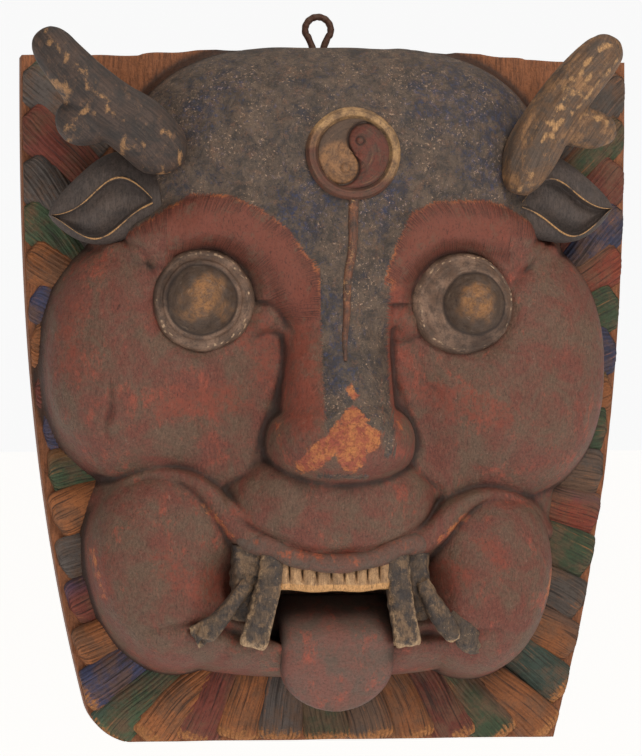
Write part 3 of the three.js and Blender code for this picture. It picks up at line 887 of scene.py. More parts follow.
    def face(self, x: Array, z: Array) -> Array:
        """Depth of the face's masses, without the plank."""
        depth = np.maximum(self.skull.depth(x, z), self.bed.depth(x, z))
        depth = swell(depth, self.middle.depth(x, z), 10.0)
        for cheek in self.cheeks:
            depth = swell(depth, cheek.depth(x, z), 9.0)
        for roll in self.brows:
            depth = swell(depth, roll.depth(x, z), 14.0)
        for roll in self.lids:
            depth = swell(depth, roll.depth(x, z), 6.0)
        depth = self.socketed(x, z, depth)
        for lobe in self.inner_lids:
            depth = swell(depth, lobe.depth(x, z), 5.0)
        depth = swell(depth, self.chin.depth(x, z), 8.0)
        depth = swell(depth, self.muzzle.depth(x, z), 6.0)
        bell = swell(self.bridge.depth(x, z), self.nose.depth(x, z), 12.0)
        depth = swell(depth, bell, 7.0 + 7.0 * smoothstep(z, -20.0, 40.0))
        for jowl in self.jowls:
            depth = swell(depth, jowl.depth(x, z), 7.0)
            line = (jowl.reach(x, z) - 0.94) * jowl.wide / 1.3
            depth = depth - 1.1 * np.exp(-(line**2)) * (np.abs(x) > np.abs(jowl.x) - 20)
        for pocket in self.pockets:
            depth = depth - pocket.crest * np.exp(-1.6 * pocket.reach(x, z) ** 2)
        for rim in self.rims:
            depth = swell(depth, rim.depth(x, z), 5.0)
        for fold in self.folds:
            depth = depth - fold.groove(x, z)
        return depth

    def socketed(self, x: Array, z: Array, depth: Array) -> Array:
        """The same depths with a round moat sunk round each eye, steep above and gentle below."""
        for ex, ez in self.sockets:
            away = np.hypot(x - ex, z - ez)
            steep = np.where(z > ez, 1.9, 0.75)
            floor = self.socket_depth + steep * np.maximum(away - self.socket_size, 0.0)
            depth = -swell(-depth, -floor, 5.0)
        return depth

    def depth(self, x: Array, z: Array) -> Array:
        """Depth of the carved front anywhere on the plank."""
        grain = np.sin(x * 2.4 + 2.0 * ripple(x, z, 40.0, 5))
        ground = self.edge + 1.2 * ripple(x, z, 60.0, 3) + 0.25 * grain
        depth = swell(ground, self.face(x, z), 3.0)
        tool = 0.45 * ripple(x, z, 22.0, 11) + 0.7 * ripple(x, z, 75.0, 12)
        depth = depth + tool * smoothstep(depth, 34.0, 60.0)
        hole = self.mouth.foot + 600.0 * np.maximum(self.mouth.reach(x, z) - 0.96, 0.0)
        return np.minimum(depth, np.maximum(hole, self.mouth.foot))


@dataclass
class ReliefMap:
    """The relief sampled on a lattice, for places that need it quickly and for what lies around them."""

    relief: Relief
    pitch: float = 1.0

    def __post_init__(self) -> None:
        """Samples the depths and works out the hollows and the high places."""
        self.x0, self.z0 = -220.0, self.relief.foot - 6
        xs = np.arange(self.x0, 220.0, self.pitch)
        zs = np.arange(self.z0, self.relief.top + 12, self.pitch)
        x, z = np.meshgrid(xs, zs)
        self.depths = self.relief.depth(x, z)
        wide = blurred(self.depths, 9)
        near = blurred(self.depths, 3)
        broad = np.clip((wide - self.depths) / 12.0, 0, 1)
        tight = np.clip((near - self.depths) / 2.6, 0, 1)
        # Hollows of the relief, where painted shade is laid through the field "deep".
        self.hollow = 0.3 * broad + 0.8 * tight
        self.proud = np.clip((self.depths - near) / 2.2, 0, 1)

    def sample(self, values: Array, x: Array, z: Array) -> Array:
        """A lattice of values read between its points, by the nearest four."""
        u = np.clip((x - self.x0) / self.pitch, 0, values.shape[1] - 1.001)
        v = np.clip((z - self.z0) / self.pitch, 0, values.shape[0] - 1.001)
        i, j = u.astype(int), v.astype(int)
        f, g = u - i, v - j
        low = values[j, i] * (1 - f) + values[j, i + 1] * f
        high = values[j + 1, i] * (1 - f) + values[j + 1, i + 1] * f
        return low * (1 - g) + high * g


@dataclass
class Panel:
    """The plank and the face cut from it, as one sheet closed by its sides and flat back.

    The sheet has columns by rows of cells, evened out by rounds of pulling. The skirt is the rings from
    the front's edge round to the back, as (share of the outline, share of the edge's depth). The brow
    line parts the skull from the face, the hairs of each brow fan out round a place of its own, and
    the strokes (from, to, reach) say where red, bare wood and blue lie.
    """

    map: ReliefMap
    columns: int = 285
    rows: int = 318
    rounds: int = 60
    pull: float = 0.4
    crown: float = 5.5
    skirt: tuple[Spot, ...] = (
        (1.0, 0.66), (1.0, 0.33), (1.0, 0.02), (0.997, 0.0), (0.985, 0.0), (0.9, 0.0),
    )
    fans: Spot = (-88.0, 82.0)
    fan_level: float = 38.0
    brow_line: tuple[Spot, ...] = (
        (-160, 100), (-120, 125), (-101, 137), (-76, 136), (-54, 126), (-37, 113), (-26, 98), (-15, 84),
        (-12, -16), (24, -16), (28, 78), (36, 101), (47, 124), (64, 132), (98, 134), (115, 130),
        (160, 104),
    )
    brow_bones: tuple[tuple[Spot, Spot], ...] = (
        ((-132, 106), (-104, 116)), ((-104, 116), (-70, 116)), ((-70, 116), (-42, 98)),
        ((-42, 98), (-28, 70)), ((38, 96), (66, 114)), ((66, 114), (100, 114)), ((100, 114), (134, 108)),
    )
    washes: tuple[Stroke, ...] = (
        ((-178, 60), (-184, 20), 7.0), ((-120, -6), (-66, 0), 10.0), ((-60, 46), (-44, 20), 12.0),
        ((44, 60), (42, -6), 5.0), ((64, 2), (112, -14), 9.0), ((-165, -100), (-157, -136), 4.0),
        ((-92, -128), (-70, -130), 12.0), ((-70, -76), (-56, -92), 4.0), ((66, -124), (80, -120), 10.0),
        ((-30, -103), (40, -100), 2.0), ((-120, -112), (-104, -130), 8.0),
        ((100, -100), (112, -112), 6.0),
    )
    patches: tuple[Stroke, ...] = (
        ((4, -16), (-26, -44), 7.0), ((4, -15), (14, -28), 8.0), ((0, -24), (2, -40), 10.0),
        ((3, 5), (4, 1), 2.6), ((-36, -106), (-10, -113.0), 0.8), ((-10, -113), (22, -111), 1.2),
        ((22, -111), (44, -102), 1.6), ((-94, -72), (-74, -94), 1.0), ((88, -82), (68, -98), 1.6),
        ((-166, -104), (-158, -136), 0.6), ((151, -120), (143, -146), 1.0), ((36, -16), (37, -20), 1.0),
        ((-44, -18), (-44, -26), 0.5),
    )
    blues: tuple[Stroke, ...] = (
        ((-30, 120), (-18, 140), 8.0), ((36, 140), (28, 126), 6.0), ((70, 205), (112, 196), 14.0),
        ((96, 160), (112, 150), 8.0), ((-100, 190), (-80, 210), 4.0), ((-8, 60), (-8, 10), 2.0),
    )

    def lattice(self) -> tuple[Array, Array]:
        """Places of the front's points, drawn together where the relief is steep.

        Each round moves a point to the mean of its four neighbours, weighed by how far off they are
        in space, so that the cells end up with sides of like length.
        """
        relief = self.map.relief
        v = np.linspace(0, 1, self.rows + 1)[:, None]
        u = np.linspace(-1, 1, self.columns + 1)[None, :]
        across = relief.half_top * u
        waves = 0.7 + 0.7 * np.clip(ripple(across, 0 * u, 42.0, 81), -1, 1)
        crown = self.crown * np.sqrt(np.clip(1 - ((across - 5.0) / 135.0) ** 2, 0, 1))
        z = relief.foot + (relief.top - waves + crown - relief.foot) * v
        x = relief.half(z, u) * u
        for _ in range(self.rounds):
            p = stack(x, z, self.map.sample(self.map.depths, x, z))
            inner = p[1:-1, 1:-1]
            moved = np.zeros_like(inner)
            total = np.zeros(inner.shape[:2])
            for other in (p[:-2, 1:-1], p[2:, 1:-1], p[1:-1, :-2], p[1:-1, 2:]):
                weight = np.linalg.norm(other - inner, axis=-1)
                moved += other * weight[..., None]
                total += weight
            moved = inner + self.pull * (moved / total[..., None] - inner)
            x[1:-1, 1:-1] = moved[..., 0]
            z[1:-1, 1:-1] = moved[..., 2]
        return x, z

    def zones(self, x: Array, z: Array, depth: Array) -> dict[str, Array]:
        """Signed distances of the painted zones, the hairs' lines, and how worn and deep places are.

        Args:
            x: Places across.
            z: Places up.
            depth: The relief there.

        Returns:
            One array for each field that the paint reads.
        """
        line = np.array(self.brow_line)
        border = np.interp(x, line[:, 0], line[:, 1])
        slope = np.interp(x, 0.5 * (line[1:, 0] + line[:-1, 0]), np.diff(line[:, 1]) / np.diff(line[:, 0]))
        skull = self.map.relief.skull
        above = (z - border) / np.sqrt(1 + np.minimum(slope**2, 9.0))
        slate = np.minimum(above, (1.03 - skull.reach(x, z)) * 90.0)
        strip = np.minimum.reduce([x + 15.0, 25.0 - x, z + 24.0, 120.0 - z])
        slate = np.maximum(slate, strip)
        slate = np.maximum(slate, np.minimum.reduce([x - 20.0, 37.0 - x, 80.0 - z, z + 44.0]) * 0.5 - 2.0)
        slate = np.maximum(slate, capsule(x, z, (-18.0, -53.0), (14.0, -54.0), 1.5))
        bands = [capsule(x, z, a, b, 21.0) for a, b in self.brow_bones]
        brow = np.minimum(np.maximum.reduce(bands), 8.0 - above)
        for cheek in self.map.relief.cheeks:
            oval = (cheek.reach(x, z) - 0.97) * cheek.wide
            brow = np.where(np.abs(x) > 118.0, np.minimum(brow, oval), brow)
        side = np.abs(np.abs(x - 3.0) - 30.0)
        red = np.clip(1.2 - side / 14.0, 0, 1) * smoothstep(z, -45.0, -10.0) * smoothstep(z, 90.0, 70.0)
        for (ax, az), (bx, bz), reach in self.washes:
            red = np.maximum(red, np.clip(0.5 + capsule(x, z, (ax, az), (bx, bz), reach) / 14.0, 0, 0.75))
        plain = np.where(depth < 33.0, 6.0, -12.0)
        bare = np.maximum.reduce([capsule(x, z, a, b, r) for a, b, r in self.patches])
        blue = np.maximum.reduce([1 + capsule(x, z, a, b, r) / 18.0 for a, b, r in self.blues])
        worn = 0.3 * self.map.sample(self.map.proud, x, z)
        # Painted shade with some grime in the hollows of the relief, carried as "deep".
        deep = self.map.sample(self.map.hollow, x, z)
        hub = np.where(x < 0, *self.fans)
        turn = np.arctan2(x - hub, z - self.fan_level)
        away = np.hypot(x - hub, z - self.fan_level)
        return {
            "slate": slate,
            "brow": brow,
            "plain": plain,
            "bare": bare,
            "blue": np.clip(blue, 0, 1),
            "red": red,
            "worn": worn,
            "deep": deep,
            "across": 75.0 * turn + 0.002 * away**2 * np.sign(hub),
            "along": away,
        }

    def shell(self) -> Shell:
        """The closed surface: the front's lattice, a wall down to the wall plane, and a fan behind."""
        x, z = self.lattice()
        depth = self.map.relief.depth(x, z)
        front = stack(x, z, depth)
        rows, columns = x.shape
        index = np.arange(rows * columns).reshape(rows, columns)
        cells = [index[:-1, :-1], index[:-1, 1:], index[1:, 1:], index[1:, :-1]]
        quads = [np.stack(cells, axis=-1).reshape(-1, 4)]
        rim = np.concatenate([index[0, :-1], index[:-1, -1], index[-1, :0:-1], index[:0:-1, 0]])
        points = [front.reshape(-1, 3)]
        edge = front.reshape(-1, 3)[rim]
        above, base = rim, rows * columns
        for inward, share in self.skirt:
            level = edge * np.array([inward, share, inward])
            level[:, 2] = np.minimum(level[:, 2], self.map.relief.top)
            points.append(level)
            below = base + np.arange(len(rim))
            quads.append(np.stack([below, np.roll(below, -1), np.roll(above, -1), above], axis=-1))
            above, base = below, base + len(rim)
        points.append(np.array([[0.0, 0.0, 0.0]]))
        tris = np.stack([np.full(len(rim), base), np.roll(above, -1), above], axis=-1)
        fields = {name: value.reshape(-1, 1) for name, value in self.zones(x, z, depth).items()}
        extra = base + 1 - rows * columns
        rest = dict.fromkeys(fields, 0.0) | {"slate": -20.0, "brow": -20.0, "bare": -20.0, "plain": 12.0}
        for name, value in fields.items():
            fields[name] = np.vstack([value, np.full((extra, 1), rest[name])])
        return Shell(np.vstack(points), np.vstack(quads), tris, fields).outward()

    def build(self) -> bpy.types.Object:
        """The panel's piece, in place of the plain solid."""
        made = piece("carved_face", self.shell())
        paint = FacePaint(
            name="face_paint",
            patina=rgb(100, 77, 62),
            rub=rgb(144, 72, 55),
            patina_share=0.55,
            grain=(1.0, 1.0, 2.2),
            stroke=0.8,
        )
        made.data.materials.append(paint.material())
        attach(made, BODY)
        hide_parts("carved_panel")
        return made


def dress(made: bpy.types.Object, paint: WornPaint | ForgedIron) -> bpy.types.Object:
    """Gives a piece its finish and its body."""
    made.data.materials.append(paint.material())
    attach(made, BODY)
    return made


# ---------------------------------------------------------------- mane


@dataclass
class Mane:
    """Locks of carved hair round the plank's margin, from the top left corner down and up the other side.

    The tints paint light on the locks of the left side and paint shade on those of the right.
    """

    map: ReliefMap
    width: float = 33.0
    length: float = 78.0
    crest: float = 36.0
    foot: float = 18.0
    strands: int = 11
    rings: int = 34
    sides: int = 96
    # Painted light and painted shade: multipliers that lighten the left locks and darken the right ones.
    left_painted_light: Colour = (1.34, 1.26, 1.18)
    right_painted_shade: Colour = (0.94, 0.86, 0.76)
    pigments: tuple[Pigment, ...] = (
        Pigment.SLATE, Pigment.MAROON, Pigment.SLATE, Pigment.GREEN, Pigment.OCHRE, Pigment.BLUE,
        Pigment.OCHRE, Pigment.MAROON, Pigment.BLUE, Pigment.GREEN, Pigment.OCHRE, Pigment.SLATE,
        Pigment.MAROON, Pigment.OCHRE, Pigment.BLUE, Pigment.GREEN, Pigment.OCHRE, Pigment.MAROON,
        Pigment.OCHRE, Pigment.SLATE, Pigment.GREEN, Pigment.SLATE, Pigment.OCHRE, Pigment.MAROON,
        Pigment.GREEN, Pigment.OCHRE, Pigment.TEAL, Pigment.OCHRE, Pigment.SLATE, Pigment.GREEN,
        Pigment.RED, Pigment.SLATE, Pigment.GREEN, Pigment.OCHRE, Pigment.BLUE, Pigment.GREEN,
        Pigment.RED, Pigment.BLUE, Pigment.MAROON, Pigment.GREEN, Pigment.SLATE,
    )

    def tips(self) -> Array:
        """Where each lock meets the margin: evenly spread along the sides and the foot."""
        relief = self.map.relief
        z = np.linspace(relief.top + 4, relief.foot + 8, 60)
        left = np.stack([-relief.half(z), z], axis=1)
        foot = np.stack([np.linspace(-150, 150, 30), np.full(30, relief.foot)], axis=1)
        line = np.vstack([left, foot, left[::-1] * np.array([-1.0, 1.0])])
        run = np.concatenate([[0], np.cumsum(np.linalg.norm(np.diff(line, axis=0), axis=1))])
        at = (np.arange(len(self.pigments)) + 0.5) / len(self.pigments) * run[-1]
        return np.stack([np.interp(at, run, line[:, 0]), np.interp(at, run, line[:, 1])], axis=1)

    def lean(self, x: float, z: float) -> float:
        """Turn of a lock's outer end: up beside the skull, level at the cheeks, down below the jaw."""
        rise = -0.55 + 1.3 * float(smoothstep(np.array(z), -170.0, 170.0))
        outward = rise if x > 0 else -math.pi - rise
        down = -math.pi / 2 + 0.75 * x / self.map.relief.half_foot
        share = float(smoothstep(np.array(-z), 165.0, 228.0))
        return outward * (1 - share) + down * share

    def lock(self, k: int, tip: Array, pigment: Pigment) -> Shell:
        """One lock: a tapering, bowed tongue whose top is combed into strands.

        The section is 1 - |s| ** 3 of its height, less a comb of |sin| grooves; its end rounds off.

        Args:
            k: The lock's number, which fixes its unevenness.
            tip: Where its outer end lies.
            pigment: Its main paint.

        Returns:
            The closed lock with its fields.
        """
        rng = np.random.default_rng(100 + k)
        side = math.copysign(1.0, tip[0])
        turn = self.lean(float(tip[0]), float(tip[1])) + rng.uniform(-0.1, 0.1)
        along = np.array([math.cos(turn), math.sin(turn)])
        across = np.array([-along[1], along[0]]) * side
        t = np.linspace(0, 1, self.rings)[:, None]
        angle = full_turn(self.sides)
        s = -np.cos(angle)
        front = np.sin(angle) > 0
        relief = self.map.relief
        low = tip[1] < -200
        inset = (-2.5 if low else 3.0 if side < 0 and tip[1] < 0 else 1.0) + rng.uniform(-1.0, 1.5)
        back = self.length * (1 - t) + inset
        ended = np.clip(1 - ((t - 0.86) / 0.14).clip(0, 1) ** 3.4, 0.002, 1) ** (1 / 2.6)
        half = 0.5 * self.width * rng.uniform(1.04, 1.14) * (0.86 + 0.14 * t) * ended
        bow = -9.0 * (1 - t) ** 1.6 * rng.uniform(0.6, 1.3)
        loaf = 1 - np.abs(s) ** 3.0
        waver = 0.10 * np.sin(3 * t + k) + 0.05 * np.sin(8 * t + 2 * k)
        comb = np.abs(np.sin(0.5 * np.pi * self.strands * (s + waver) + 3.0 * rng.uniform()))
        strand = comb**0.6
        arch = 0.6 + 0.4 * np.sin(np.pi * np.clip(t, 0.0, 0.98))
        top = self.crest - 9.0 + (8.0 * loaf + 2.8 * s) * arch
        top = top + 1.5 * (strand - 1.0) * (1 - np.abs(s) ** 8) + rng.uniform(-1.2, 1.2)
        top = top - 5.0 * (1 - ended)
        depth = np.where(front, top, self.foot)
        x = tip[0] - along[0] * back + across[0] * (s * half + bow)
        z = tip[1] - along[1] * back + across[1] * (s * half + bow)
        z = np.clip(z, relief.foot + 0.6, relief.top - 0.6)
        x = np.clip(x, 0.6 - relief.half(z, -1.0), relief.half(z) - 0.6)
        shape = np.broadcast_shapes(x.shape, depth.shape)
        second = self.pigments[(k * 7 + 3) % len(self.pigments)]
        mixed = smoothstep(s * np.ones_like(t), 0.2, 0.9) * (k % 3 == 0)
        colour = blend(pigment.value, second.value, 0.7 * mixed)
        # Painted light on the left locks, painted shade on the right ones.
        colour = colour * np.array(self.left_painted_light if side < 0 else self.right_painted_shade)
        worn = (0.46 if low else 0.2) * smoothstep(t, 0.74, 0.96) + 0.14 * strand * front
        # Painted shade: darker in the grooves between strands, along the lock's sides, underneath, and near
        # its inner end.
        deep = np.where(front, 0.45 * (1 - strand) + 0.5 * np.abs(s) ** 10, 0.6)
        deep = deep + 0.12 * smoothstep(t, 0.6, 0.25)
        fields = {
            "pigment": colour,
            "worn": np.broadcast_to(worn, shape),
            "deep": np.broadcast_to(deep, shape),
            "across": np.broadcast_to((s + waver) * 0.5 * self.width + 60.0 * k, shape),
            "along": np.broadcast_to(self.length * t, shape),
        }
        return ring_shell(stack(x, z, depth), fields)

    def build(self) -> list[bpy.types.Object]:
        """The mane as three runs of locks, each under the limit of triangles."""
        tips = self.tips()
        pairs = enumerate(zip(tips, self.pigments, strict=True))
        shells = [self.lock(k, tip, pigment) for k, (tip, pigment) in pairs]
        paint = ManePaint(
            name="mane_paint",
            patina=rgb(106, 76, 56),
            rub=rgb(156, 98, 60),
            chip_share=0.4,
            grain=(2.5, 1.0, 2.5),
            rough=0.66,
        )
        made = []
        third = math.ceil(len(shells) / 3)
        for name, start in (("mane_left", 0), ("mane_foot", third), ("mane_right", 2 * third)):
            run = piece(name, joined(shells[start : start + third]))
            made.append(dress(run, paint))
        return made


# ---------------------------------------------------------------- features


@dataclass
class Eye:
    """A round staring eye: a rimmed ball with a domed iris standing out of it, turned on one axis.

    The gaze shifts the iris sideways, and gloom is the turn at which the white is in shade.
    """

    name: str
    x: float
    z: float
    gaze: float
    iris: float
    gloom: float
    seed: int
    radius: float = 34.5
    base: float = 83.0
    pale: Colour = rgb(134, 108, 92)
    smudge: Colour = rgb(100, 78, 65)
    dark: Colour = rgb(76, 60, 48)
    ochre: Colour = rgb(156, 110, 68)

    def build(self) -> bpy.types.Object:
        """A turned surface: a radius and a height for each step of the profile, shifted by the gaze."""
        rim, iris = self.radius, self.iris
        profile = spline(
            [
                (rim - 1.0, -26),
                (rim, -4),
                (rim, 2),
                (rim - 1.0, 4.4),
                (rim - 2.6, 5.8),
                (rim - 4.2, 6.2),
                (rim - 7.0, 7.8),
                (iris + 3.5, 9.8),
                (iris + 1.0, 10.9),
                (iris, 11.6),
                (iris - 2.0, 13.2),
                (iris - 6.0, 16.2),
                (iris * 0.5, 18.8),
                (iris * 0.25, 20.2),
                (0.4, 20.8),
            ],
            90,
        )
        turn = full_turn(120)
        radius, height = profile[:, :1], profile[:, 1:]
        wobble = 1 + 0.012 * np.sin(3 * turn + self.x) + 0.008 * np.sin(7 * turn)
        x = self.x + self.gaze * smoothstep(height, 2.0, 12.0) + radius * np.cos(turn) * wobble
        z = self.z + radius * np.sin(turn) * wobble
        depth = self.base + height + 0.3 * ripple(x, z, 9.0, 31)
        blot = 0.52 * iris + 3.5 * ripple(x, z, 27.0, 33 + self.seed) + 2.0 * ripple(x, z, 10.0, 34)
        crown = smoothstep(blot - np.hypot(x - self.x - self.gaze - 2.0, z - self.z - 1.0), -7.0, 6.0)
        inner = smoothstep(iris + 1.0 - radius + 0 * turn, -1.0, 1.0)
        gloom = 0.6 * smoothstep(np.sin(turn + self.gloom) + 0 * radius, 0.1, 0.9) * (1 - inner)
        patch = smoothstep(ripple(x, z, 24.0, 41 + self.seed), -0.7, 0.7)
        colour = blend(blend(self.smudge, self.pale, patch), self.dark, inner)
        colour = blend(colour, self.ochre, 0.8 * crown)
        scratch = smoothstep(ripple(x, z, 3.2, 36) + 0.5 * ripple(x, z, 14.0, 37), 0.9, 1.3) * (1 - inner)
        worn = 0.34 * (np.abs(radius - rim + 2.6) < 1.6) + 0.3 * scratch
        # Painted shade in the groove round the iris and on the side of the white in shade, and a darker
        # iris.
        deep = 0.5 * np.exp(-(((radius - iris - 0.6) / 1.1) ** 2)) + gloom + 0.3 * inner * (1 - crown)
        fields = {
            "pigment": colour,
            "worn": worn + 0 * x,
            "deep": deep + 0 * x,
            "across": radius + 0 * turn,
            "along": iris * turn + 0 * radius,
        }
        paint = ManePaint(
            name=self.name + "_paint",
            patina=rgb(84, 68, 58),
            rub=rgb(158, 138, 120),
            wood=rgb(186, 154, 124),
            patina_size=5.0,
            chip_share=0.8,
            wide=1.6,
            long=9.0,
            stroke=0.4,
        )
        return dress(piece(self.name, ring_shell(stack(x, z, depth), fields)), paint)


@dataclass
class Roundel:
    """The forehead's disc: a raised rim round two commas that chase each other, each with a dot.

    A dot is (u, v, size), counted from the middle.
    """

    map: ReliefMap
    x: float = 8.0
    z: float = 164.0
    radius: float = 32.0
    inner: float = 25.0
    axis: float = 0.78
    ochre: Colour = rgb(140, 102, 70)
    brown: Colour = rgb(84, 66, 54)
    maroon: Colour = rgb(104, 54, 42)
    rim_dark: Colour = rgb(98, 62, 50)
    rim_pale: Colour = rgb(170, 136, 96)
    dots: tuple[Place, ...] = ((-6.0, -10.0, 3.4), (4.4, 8.7, 2.8))

    def comma(self, u: Array, v: Array) -> Array:
        """Signed distance from the winding border, above 0 in the red comma.

        The border is two half circles of half the inner radius, which meet in the middle.
        """
        c, s = math.cos(self.axis), math.sin(self.axis)
        p, q = u * c + v * s, v * c - u * s
        half = self.inner / 2
        head = half - np.hypot(p - half, q)
        tail = np.hypot(p + half, q) - half
        return np.where(p > 0, np.maximum(head, -q), np.minimum(tail, -q))

    def build(self) -> bpy.types.Object:
        """A polar surface laid over the skull, with the rim and the commas raised on it."""
        foot = [self.radius + 1.5, self.radius + 0.6]
        radius = np.concatenate([foot, np.linspace(self.radius, 0.3, 110)])[:, None]
        turn = full_turn(220)
        wobble = 1 + 0.01 * np.sin(2 * turn + 1.0) + 0.006 * np.sin(5 * turn)
        u, v = radius * np.cos(turn) * wobble, radius * np.sin(turn) * wobble
        x, z = self.x + u, self.z + v
        under = self.map.sample(blurred(self.map.depths, 4), x, z)
        rim = smoothstep(radius, self.radius + 0.2, self.radius - 2.0)
        rim = rim * smoothstep(radius, self.inner - 1.0, self.inner + 1.5)
        border = self.comma(u, v)
        inside = smoothstep(radius, self.inner, self.inner - 1.5)
        cut = np.exp(-((border / 1.0) ** 2)) * inside
        pillow = np.clip(np.abs(border) / 5.0, 0, 1)
        lift = 1.2 + 3.6 * rim + inside * (0.3 + 1.5 * pillow - 1.3 * cut)
        dots = np.zeros_like(x)
        for du, dv, size in self.dots:
            away = np.hypot(u - du, v - dv)
            dots = dots + np.exp(-(((away - size) / 0.8) ** 2))
            lift = lift + 0.9 * np.exp(-((away / size) ** 4)) - 0.7 * np.exp(-(((away - size) / 0.9) ** 2))
        lift = np.where(radius > self.radius + 0.3, -12.0, lift)
        red = np.clip(0.5 + border / 1.6, 0, 1) * inside
        shade = smoothstep(v + 0.45 * u + 6.0 * ripple(x, z, 20.0, 45), -12.0, 12.0)
        head = smoothstep(17.0 - np.hypot(u + 9.0, v + 9.0), -3.0, 3.0)
        commas = blend(blend(self.brown, self.ochre, head), self.maroon, red)
        colour = blend(blend(self.rim_dark, self.rim_pale, shade), commas, inside)
        worn = 0.16 * np.broadcast_to(rim, x.shape) + 0.1 * (1 - red)
        # Painted shade in the grooves between the commas, inside the rim and round the dots, and a darker
        # red comma.
        deep = 0.8 * cut + 0.5 * np.exp(-(((radius - self.inner) / 1.2) ** 2)) + 0.3 * red + 0.6 * dots
        across, along = radius + 0 * turn, self.radius * turn + 0 * radius
        fields = {"pigment": colour, "worn": worn, "deep": deep, "across": across, "along": along}
        shell = ring_shell(stack(x, z, under + lift), fields)
        paint = ManePaint(
            name="roundel_paint",
            patina=rgb(84, 64, 52),
            rub=rgb(168, 130, 92),
            wood=rgb(190, 152, 108),
            patina_size=7.0,
            chip_share=0.9,
            grain=(1.0, 1.0, 3.0),
            stroke=0.45,
        )
        return dress(piece("roundel", shell), paint)


@dataclass
class Rib:
    """The thin ridge that runs from the roundel down the middle of the nose, as (x, z, half width)."""

    map: ReliefMap
    path: tuple[Place, ...] = (
        (8.0, 136.0, 3.6), (7.5, 112.0, 3.3), (4.0, 82.0, 2.9), (1.5, 50.0, 2.3), (0.5, 24.0, 1.2),
    )

    def build(self) -> bpy.types.Object:
        """A half round bead laid over the relief."""
        line = spline(self.path, 90)
        under = self.map.sample(self.map.depths, line[:, 0], line[:, 1])
        x, z, half = line.T
        waver = 0.5 * np.sin(z / 7.0)
        stations = np.column_stack([x + waver, z, under + 0.2, half, 0.55 * half + 0.6])
        rings, _, share = limb(stations, lambda turn, _: (np.cos(turn), np.sin(turn)), 20)
        fields = {"worn": np.full(share.shape, 0.3), "deep": np.full(share.shape, 0.1)}
        paint = WornPaint(
            name="rib_paint",
            coat=rgb(112, 72, 54),
            patina=rgb(70, 58, 52),
            rub=rgb(150, 96, 66),
            wood=rgb(186, 146, 98),
            patina_size=7.0,
            chip_share=0.8,
            crack_size=4.0,
        )
        return dress(piece("forehead_rib", ring_shell(rings, fields)), paint)


@dataclass
class UpperLip:
    """The rolled edge of the upper lip over the teeth, as (x, z, depth of its front, radius)."""

    path: tuple[tuple[float, ...], ...] = (
        (-70, -92, 93, 3), (-62, -98, 97, 7), (-48, -101, 101, 7.5), (-30, -109, 105, 6.5),
        (-4, -112.5, 108, 6.5), (22, -109, 106, 6.5), (42, -101, 101, 7.5), (56, -99, 97, 7),
        (64, -94, 93, 3),
    )

    def build(self) -> bpy.types.Object:
        """A round bead along the lip's edge, a little flattened in front."""
        line = spline(self.path, 150)
        x, z, depth, radius = line.T
        stations = np.column_stack([x, z, depth - radius, radius, radius])

        def section(turn: Array, share: Array) -> tuple[Array, Array]:
            """A circle that swells and shrinks a little."""
            uneven = 1 + 0.03 * np.sin(40 * share) + 0.02 * np.sin(93 * share + turn)
            return np.cos(turn) * uneven, np.sin(turn) * uneven

        rings, turn, share = limb(stations, section, 40)
        edge = np.exp(-(((np.cos(turn) + 0.85) / 0.3) ** 2)) * (np.sin(turn) > -0.3)
        worn = 0.12 + 0.26 * edge * (0.6 + 0.4 * np.sin(9 * share))
        fields = {"worn": worn, "deep": np.full(share.shape, 0.15)}
        paint = WornPaint(
            name="lip_paint",
            coat=rgb(108, 70, 58),
            patina=rgb(92, 76, 66),
            rub=rgb(166, 84, 54),
            patina_size=14.0,
            rub_share=0.4,
            grain=(1.0, 1.0, 2.2),
            stroke=0.6,
        )
        return dress(piece("upper_lip", ring_shell(rings, fields)), paint)


@dataclass
class Teeth:
    """The upper row of teeth: one plate with a notch between each tooth and the next."""

    left: float = -43.0
    right: float = 36.0
    top: float = -108.0
    foot: float = -130.5
    back: float = 82.0
    front: float = 97.0
    bow: float = 5.0
    count: int = 9
    power: float = 0.35

    def build(self) -> bpy.types.Object:
        """Rings across the plate, each a rounded rectangle in depth and height, drawn in at each notch."""
        across = np.linspace(self.left, self.right, 280)[:, None]
        share = (across - self.left) / (self.right - self.left)
        tooth = share * self.count + 0.12 * np.sin(9.0 * share)
        gap = np.exp(-(((tooth - np.round(tooth)) / 0.075) ** 2))
        turn = full_turn(64)
        out = boxy(np.sin(turn), self.power)
        up = boxy(np.cos(turn), self.power)
        height = (up + 1) / 2
        notch = 3.2 * gap * smoothstep(height, 0.2, 0.42) * (out > 0)
        bulge = self.bow * (1 - (2 * share - 1) ** 2) - 0.7 * np.cos(2 * np.pi * tooth)
        depth = self.back + (self.front - self.back) * (out + 1) / 2 + bulge * (out > 0) - notch
        foot = self.foot - 1.2 * (1 - (2 * share - 1) ** 2) + 0.5 * np.sin(5 * share * np.pi)
        z = foot + (self.top - foot) * height
        x = across + 0 * turn
        clean = smoothstep(height, 0.26, 0.12)
        worn = np.broadcast_to(0.3 + 0.5 * clean, x.shape)
        # Painted shade in the notches between the teeth.
        deep = np.broadcast_to(0.95 * gap * smoothstep(height, 0.15, 0.45), x.shape)
        paint = WornPaint(
            name="tooth_paint",
            coat=rgb(186, 146, 106),
            patina=rgb(146, 114, 84),
            rub=rgb(204, 164, 120),
            wood=rgb(214, 162, 108),
            patina_size=7.0,
            chip_share=0.5,
            grain=(1.0, 1.0, 5.0),
        )
        shell = ring_shell(stack(x, z, depth), {"worn": worn, "deep": deep})
        return dress(piece("upper_teeth", shell), paint)


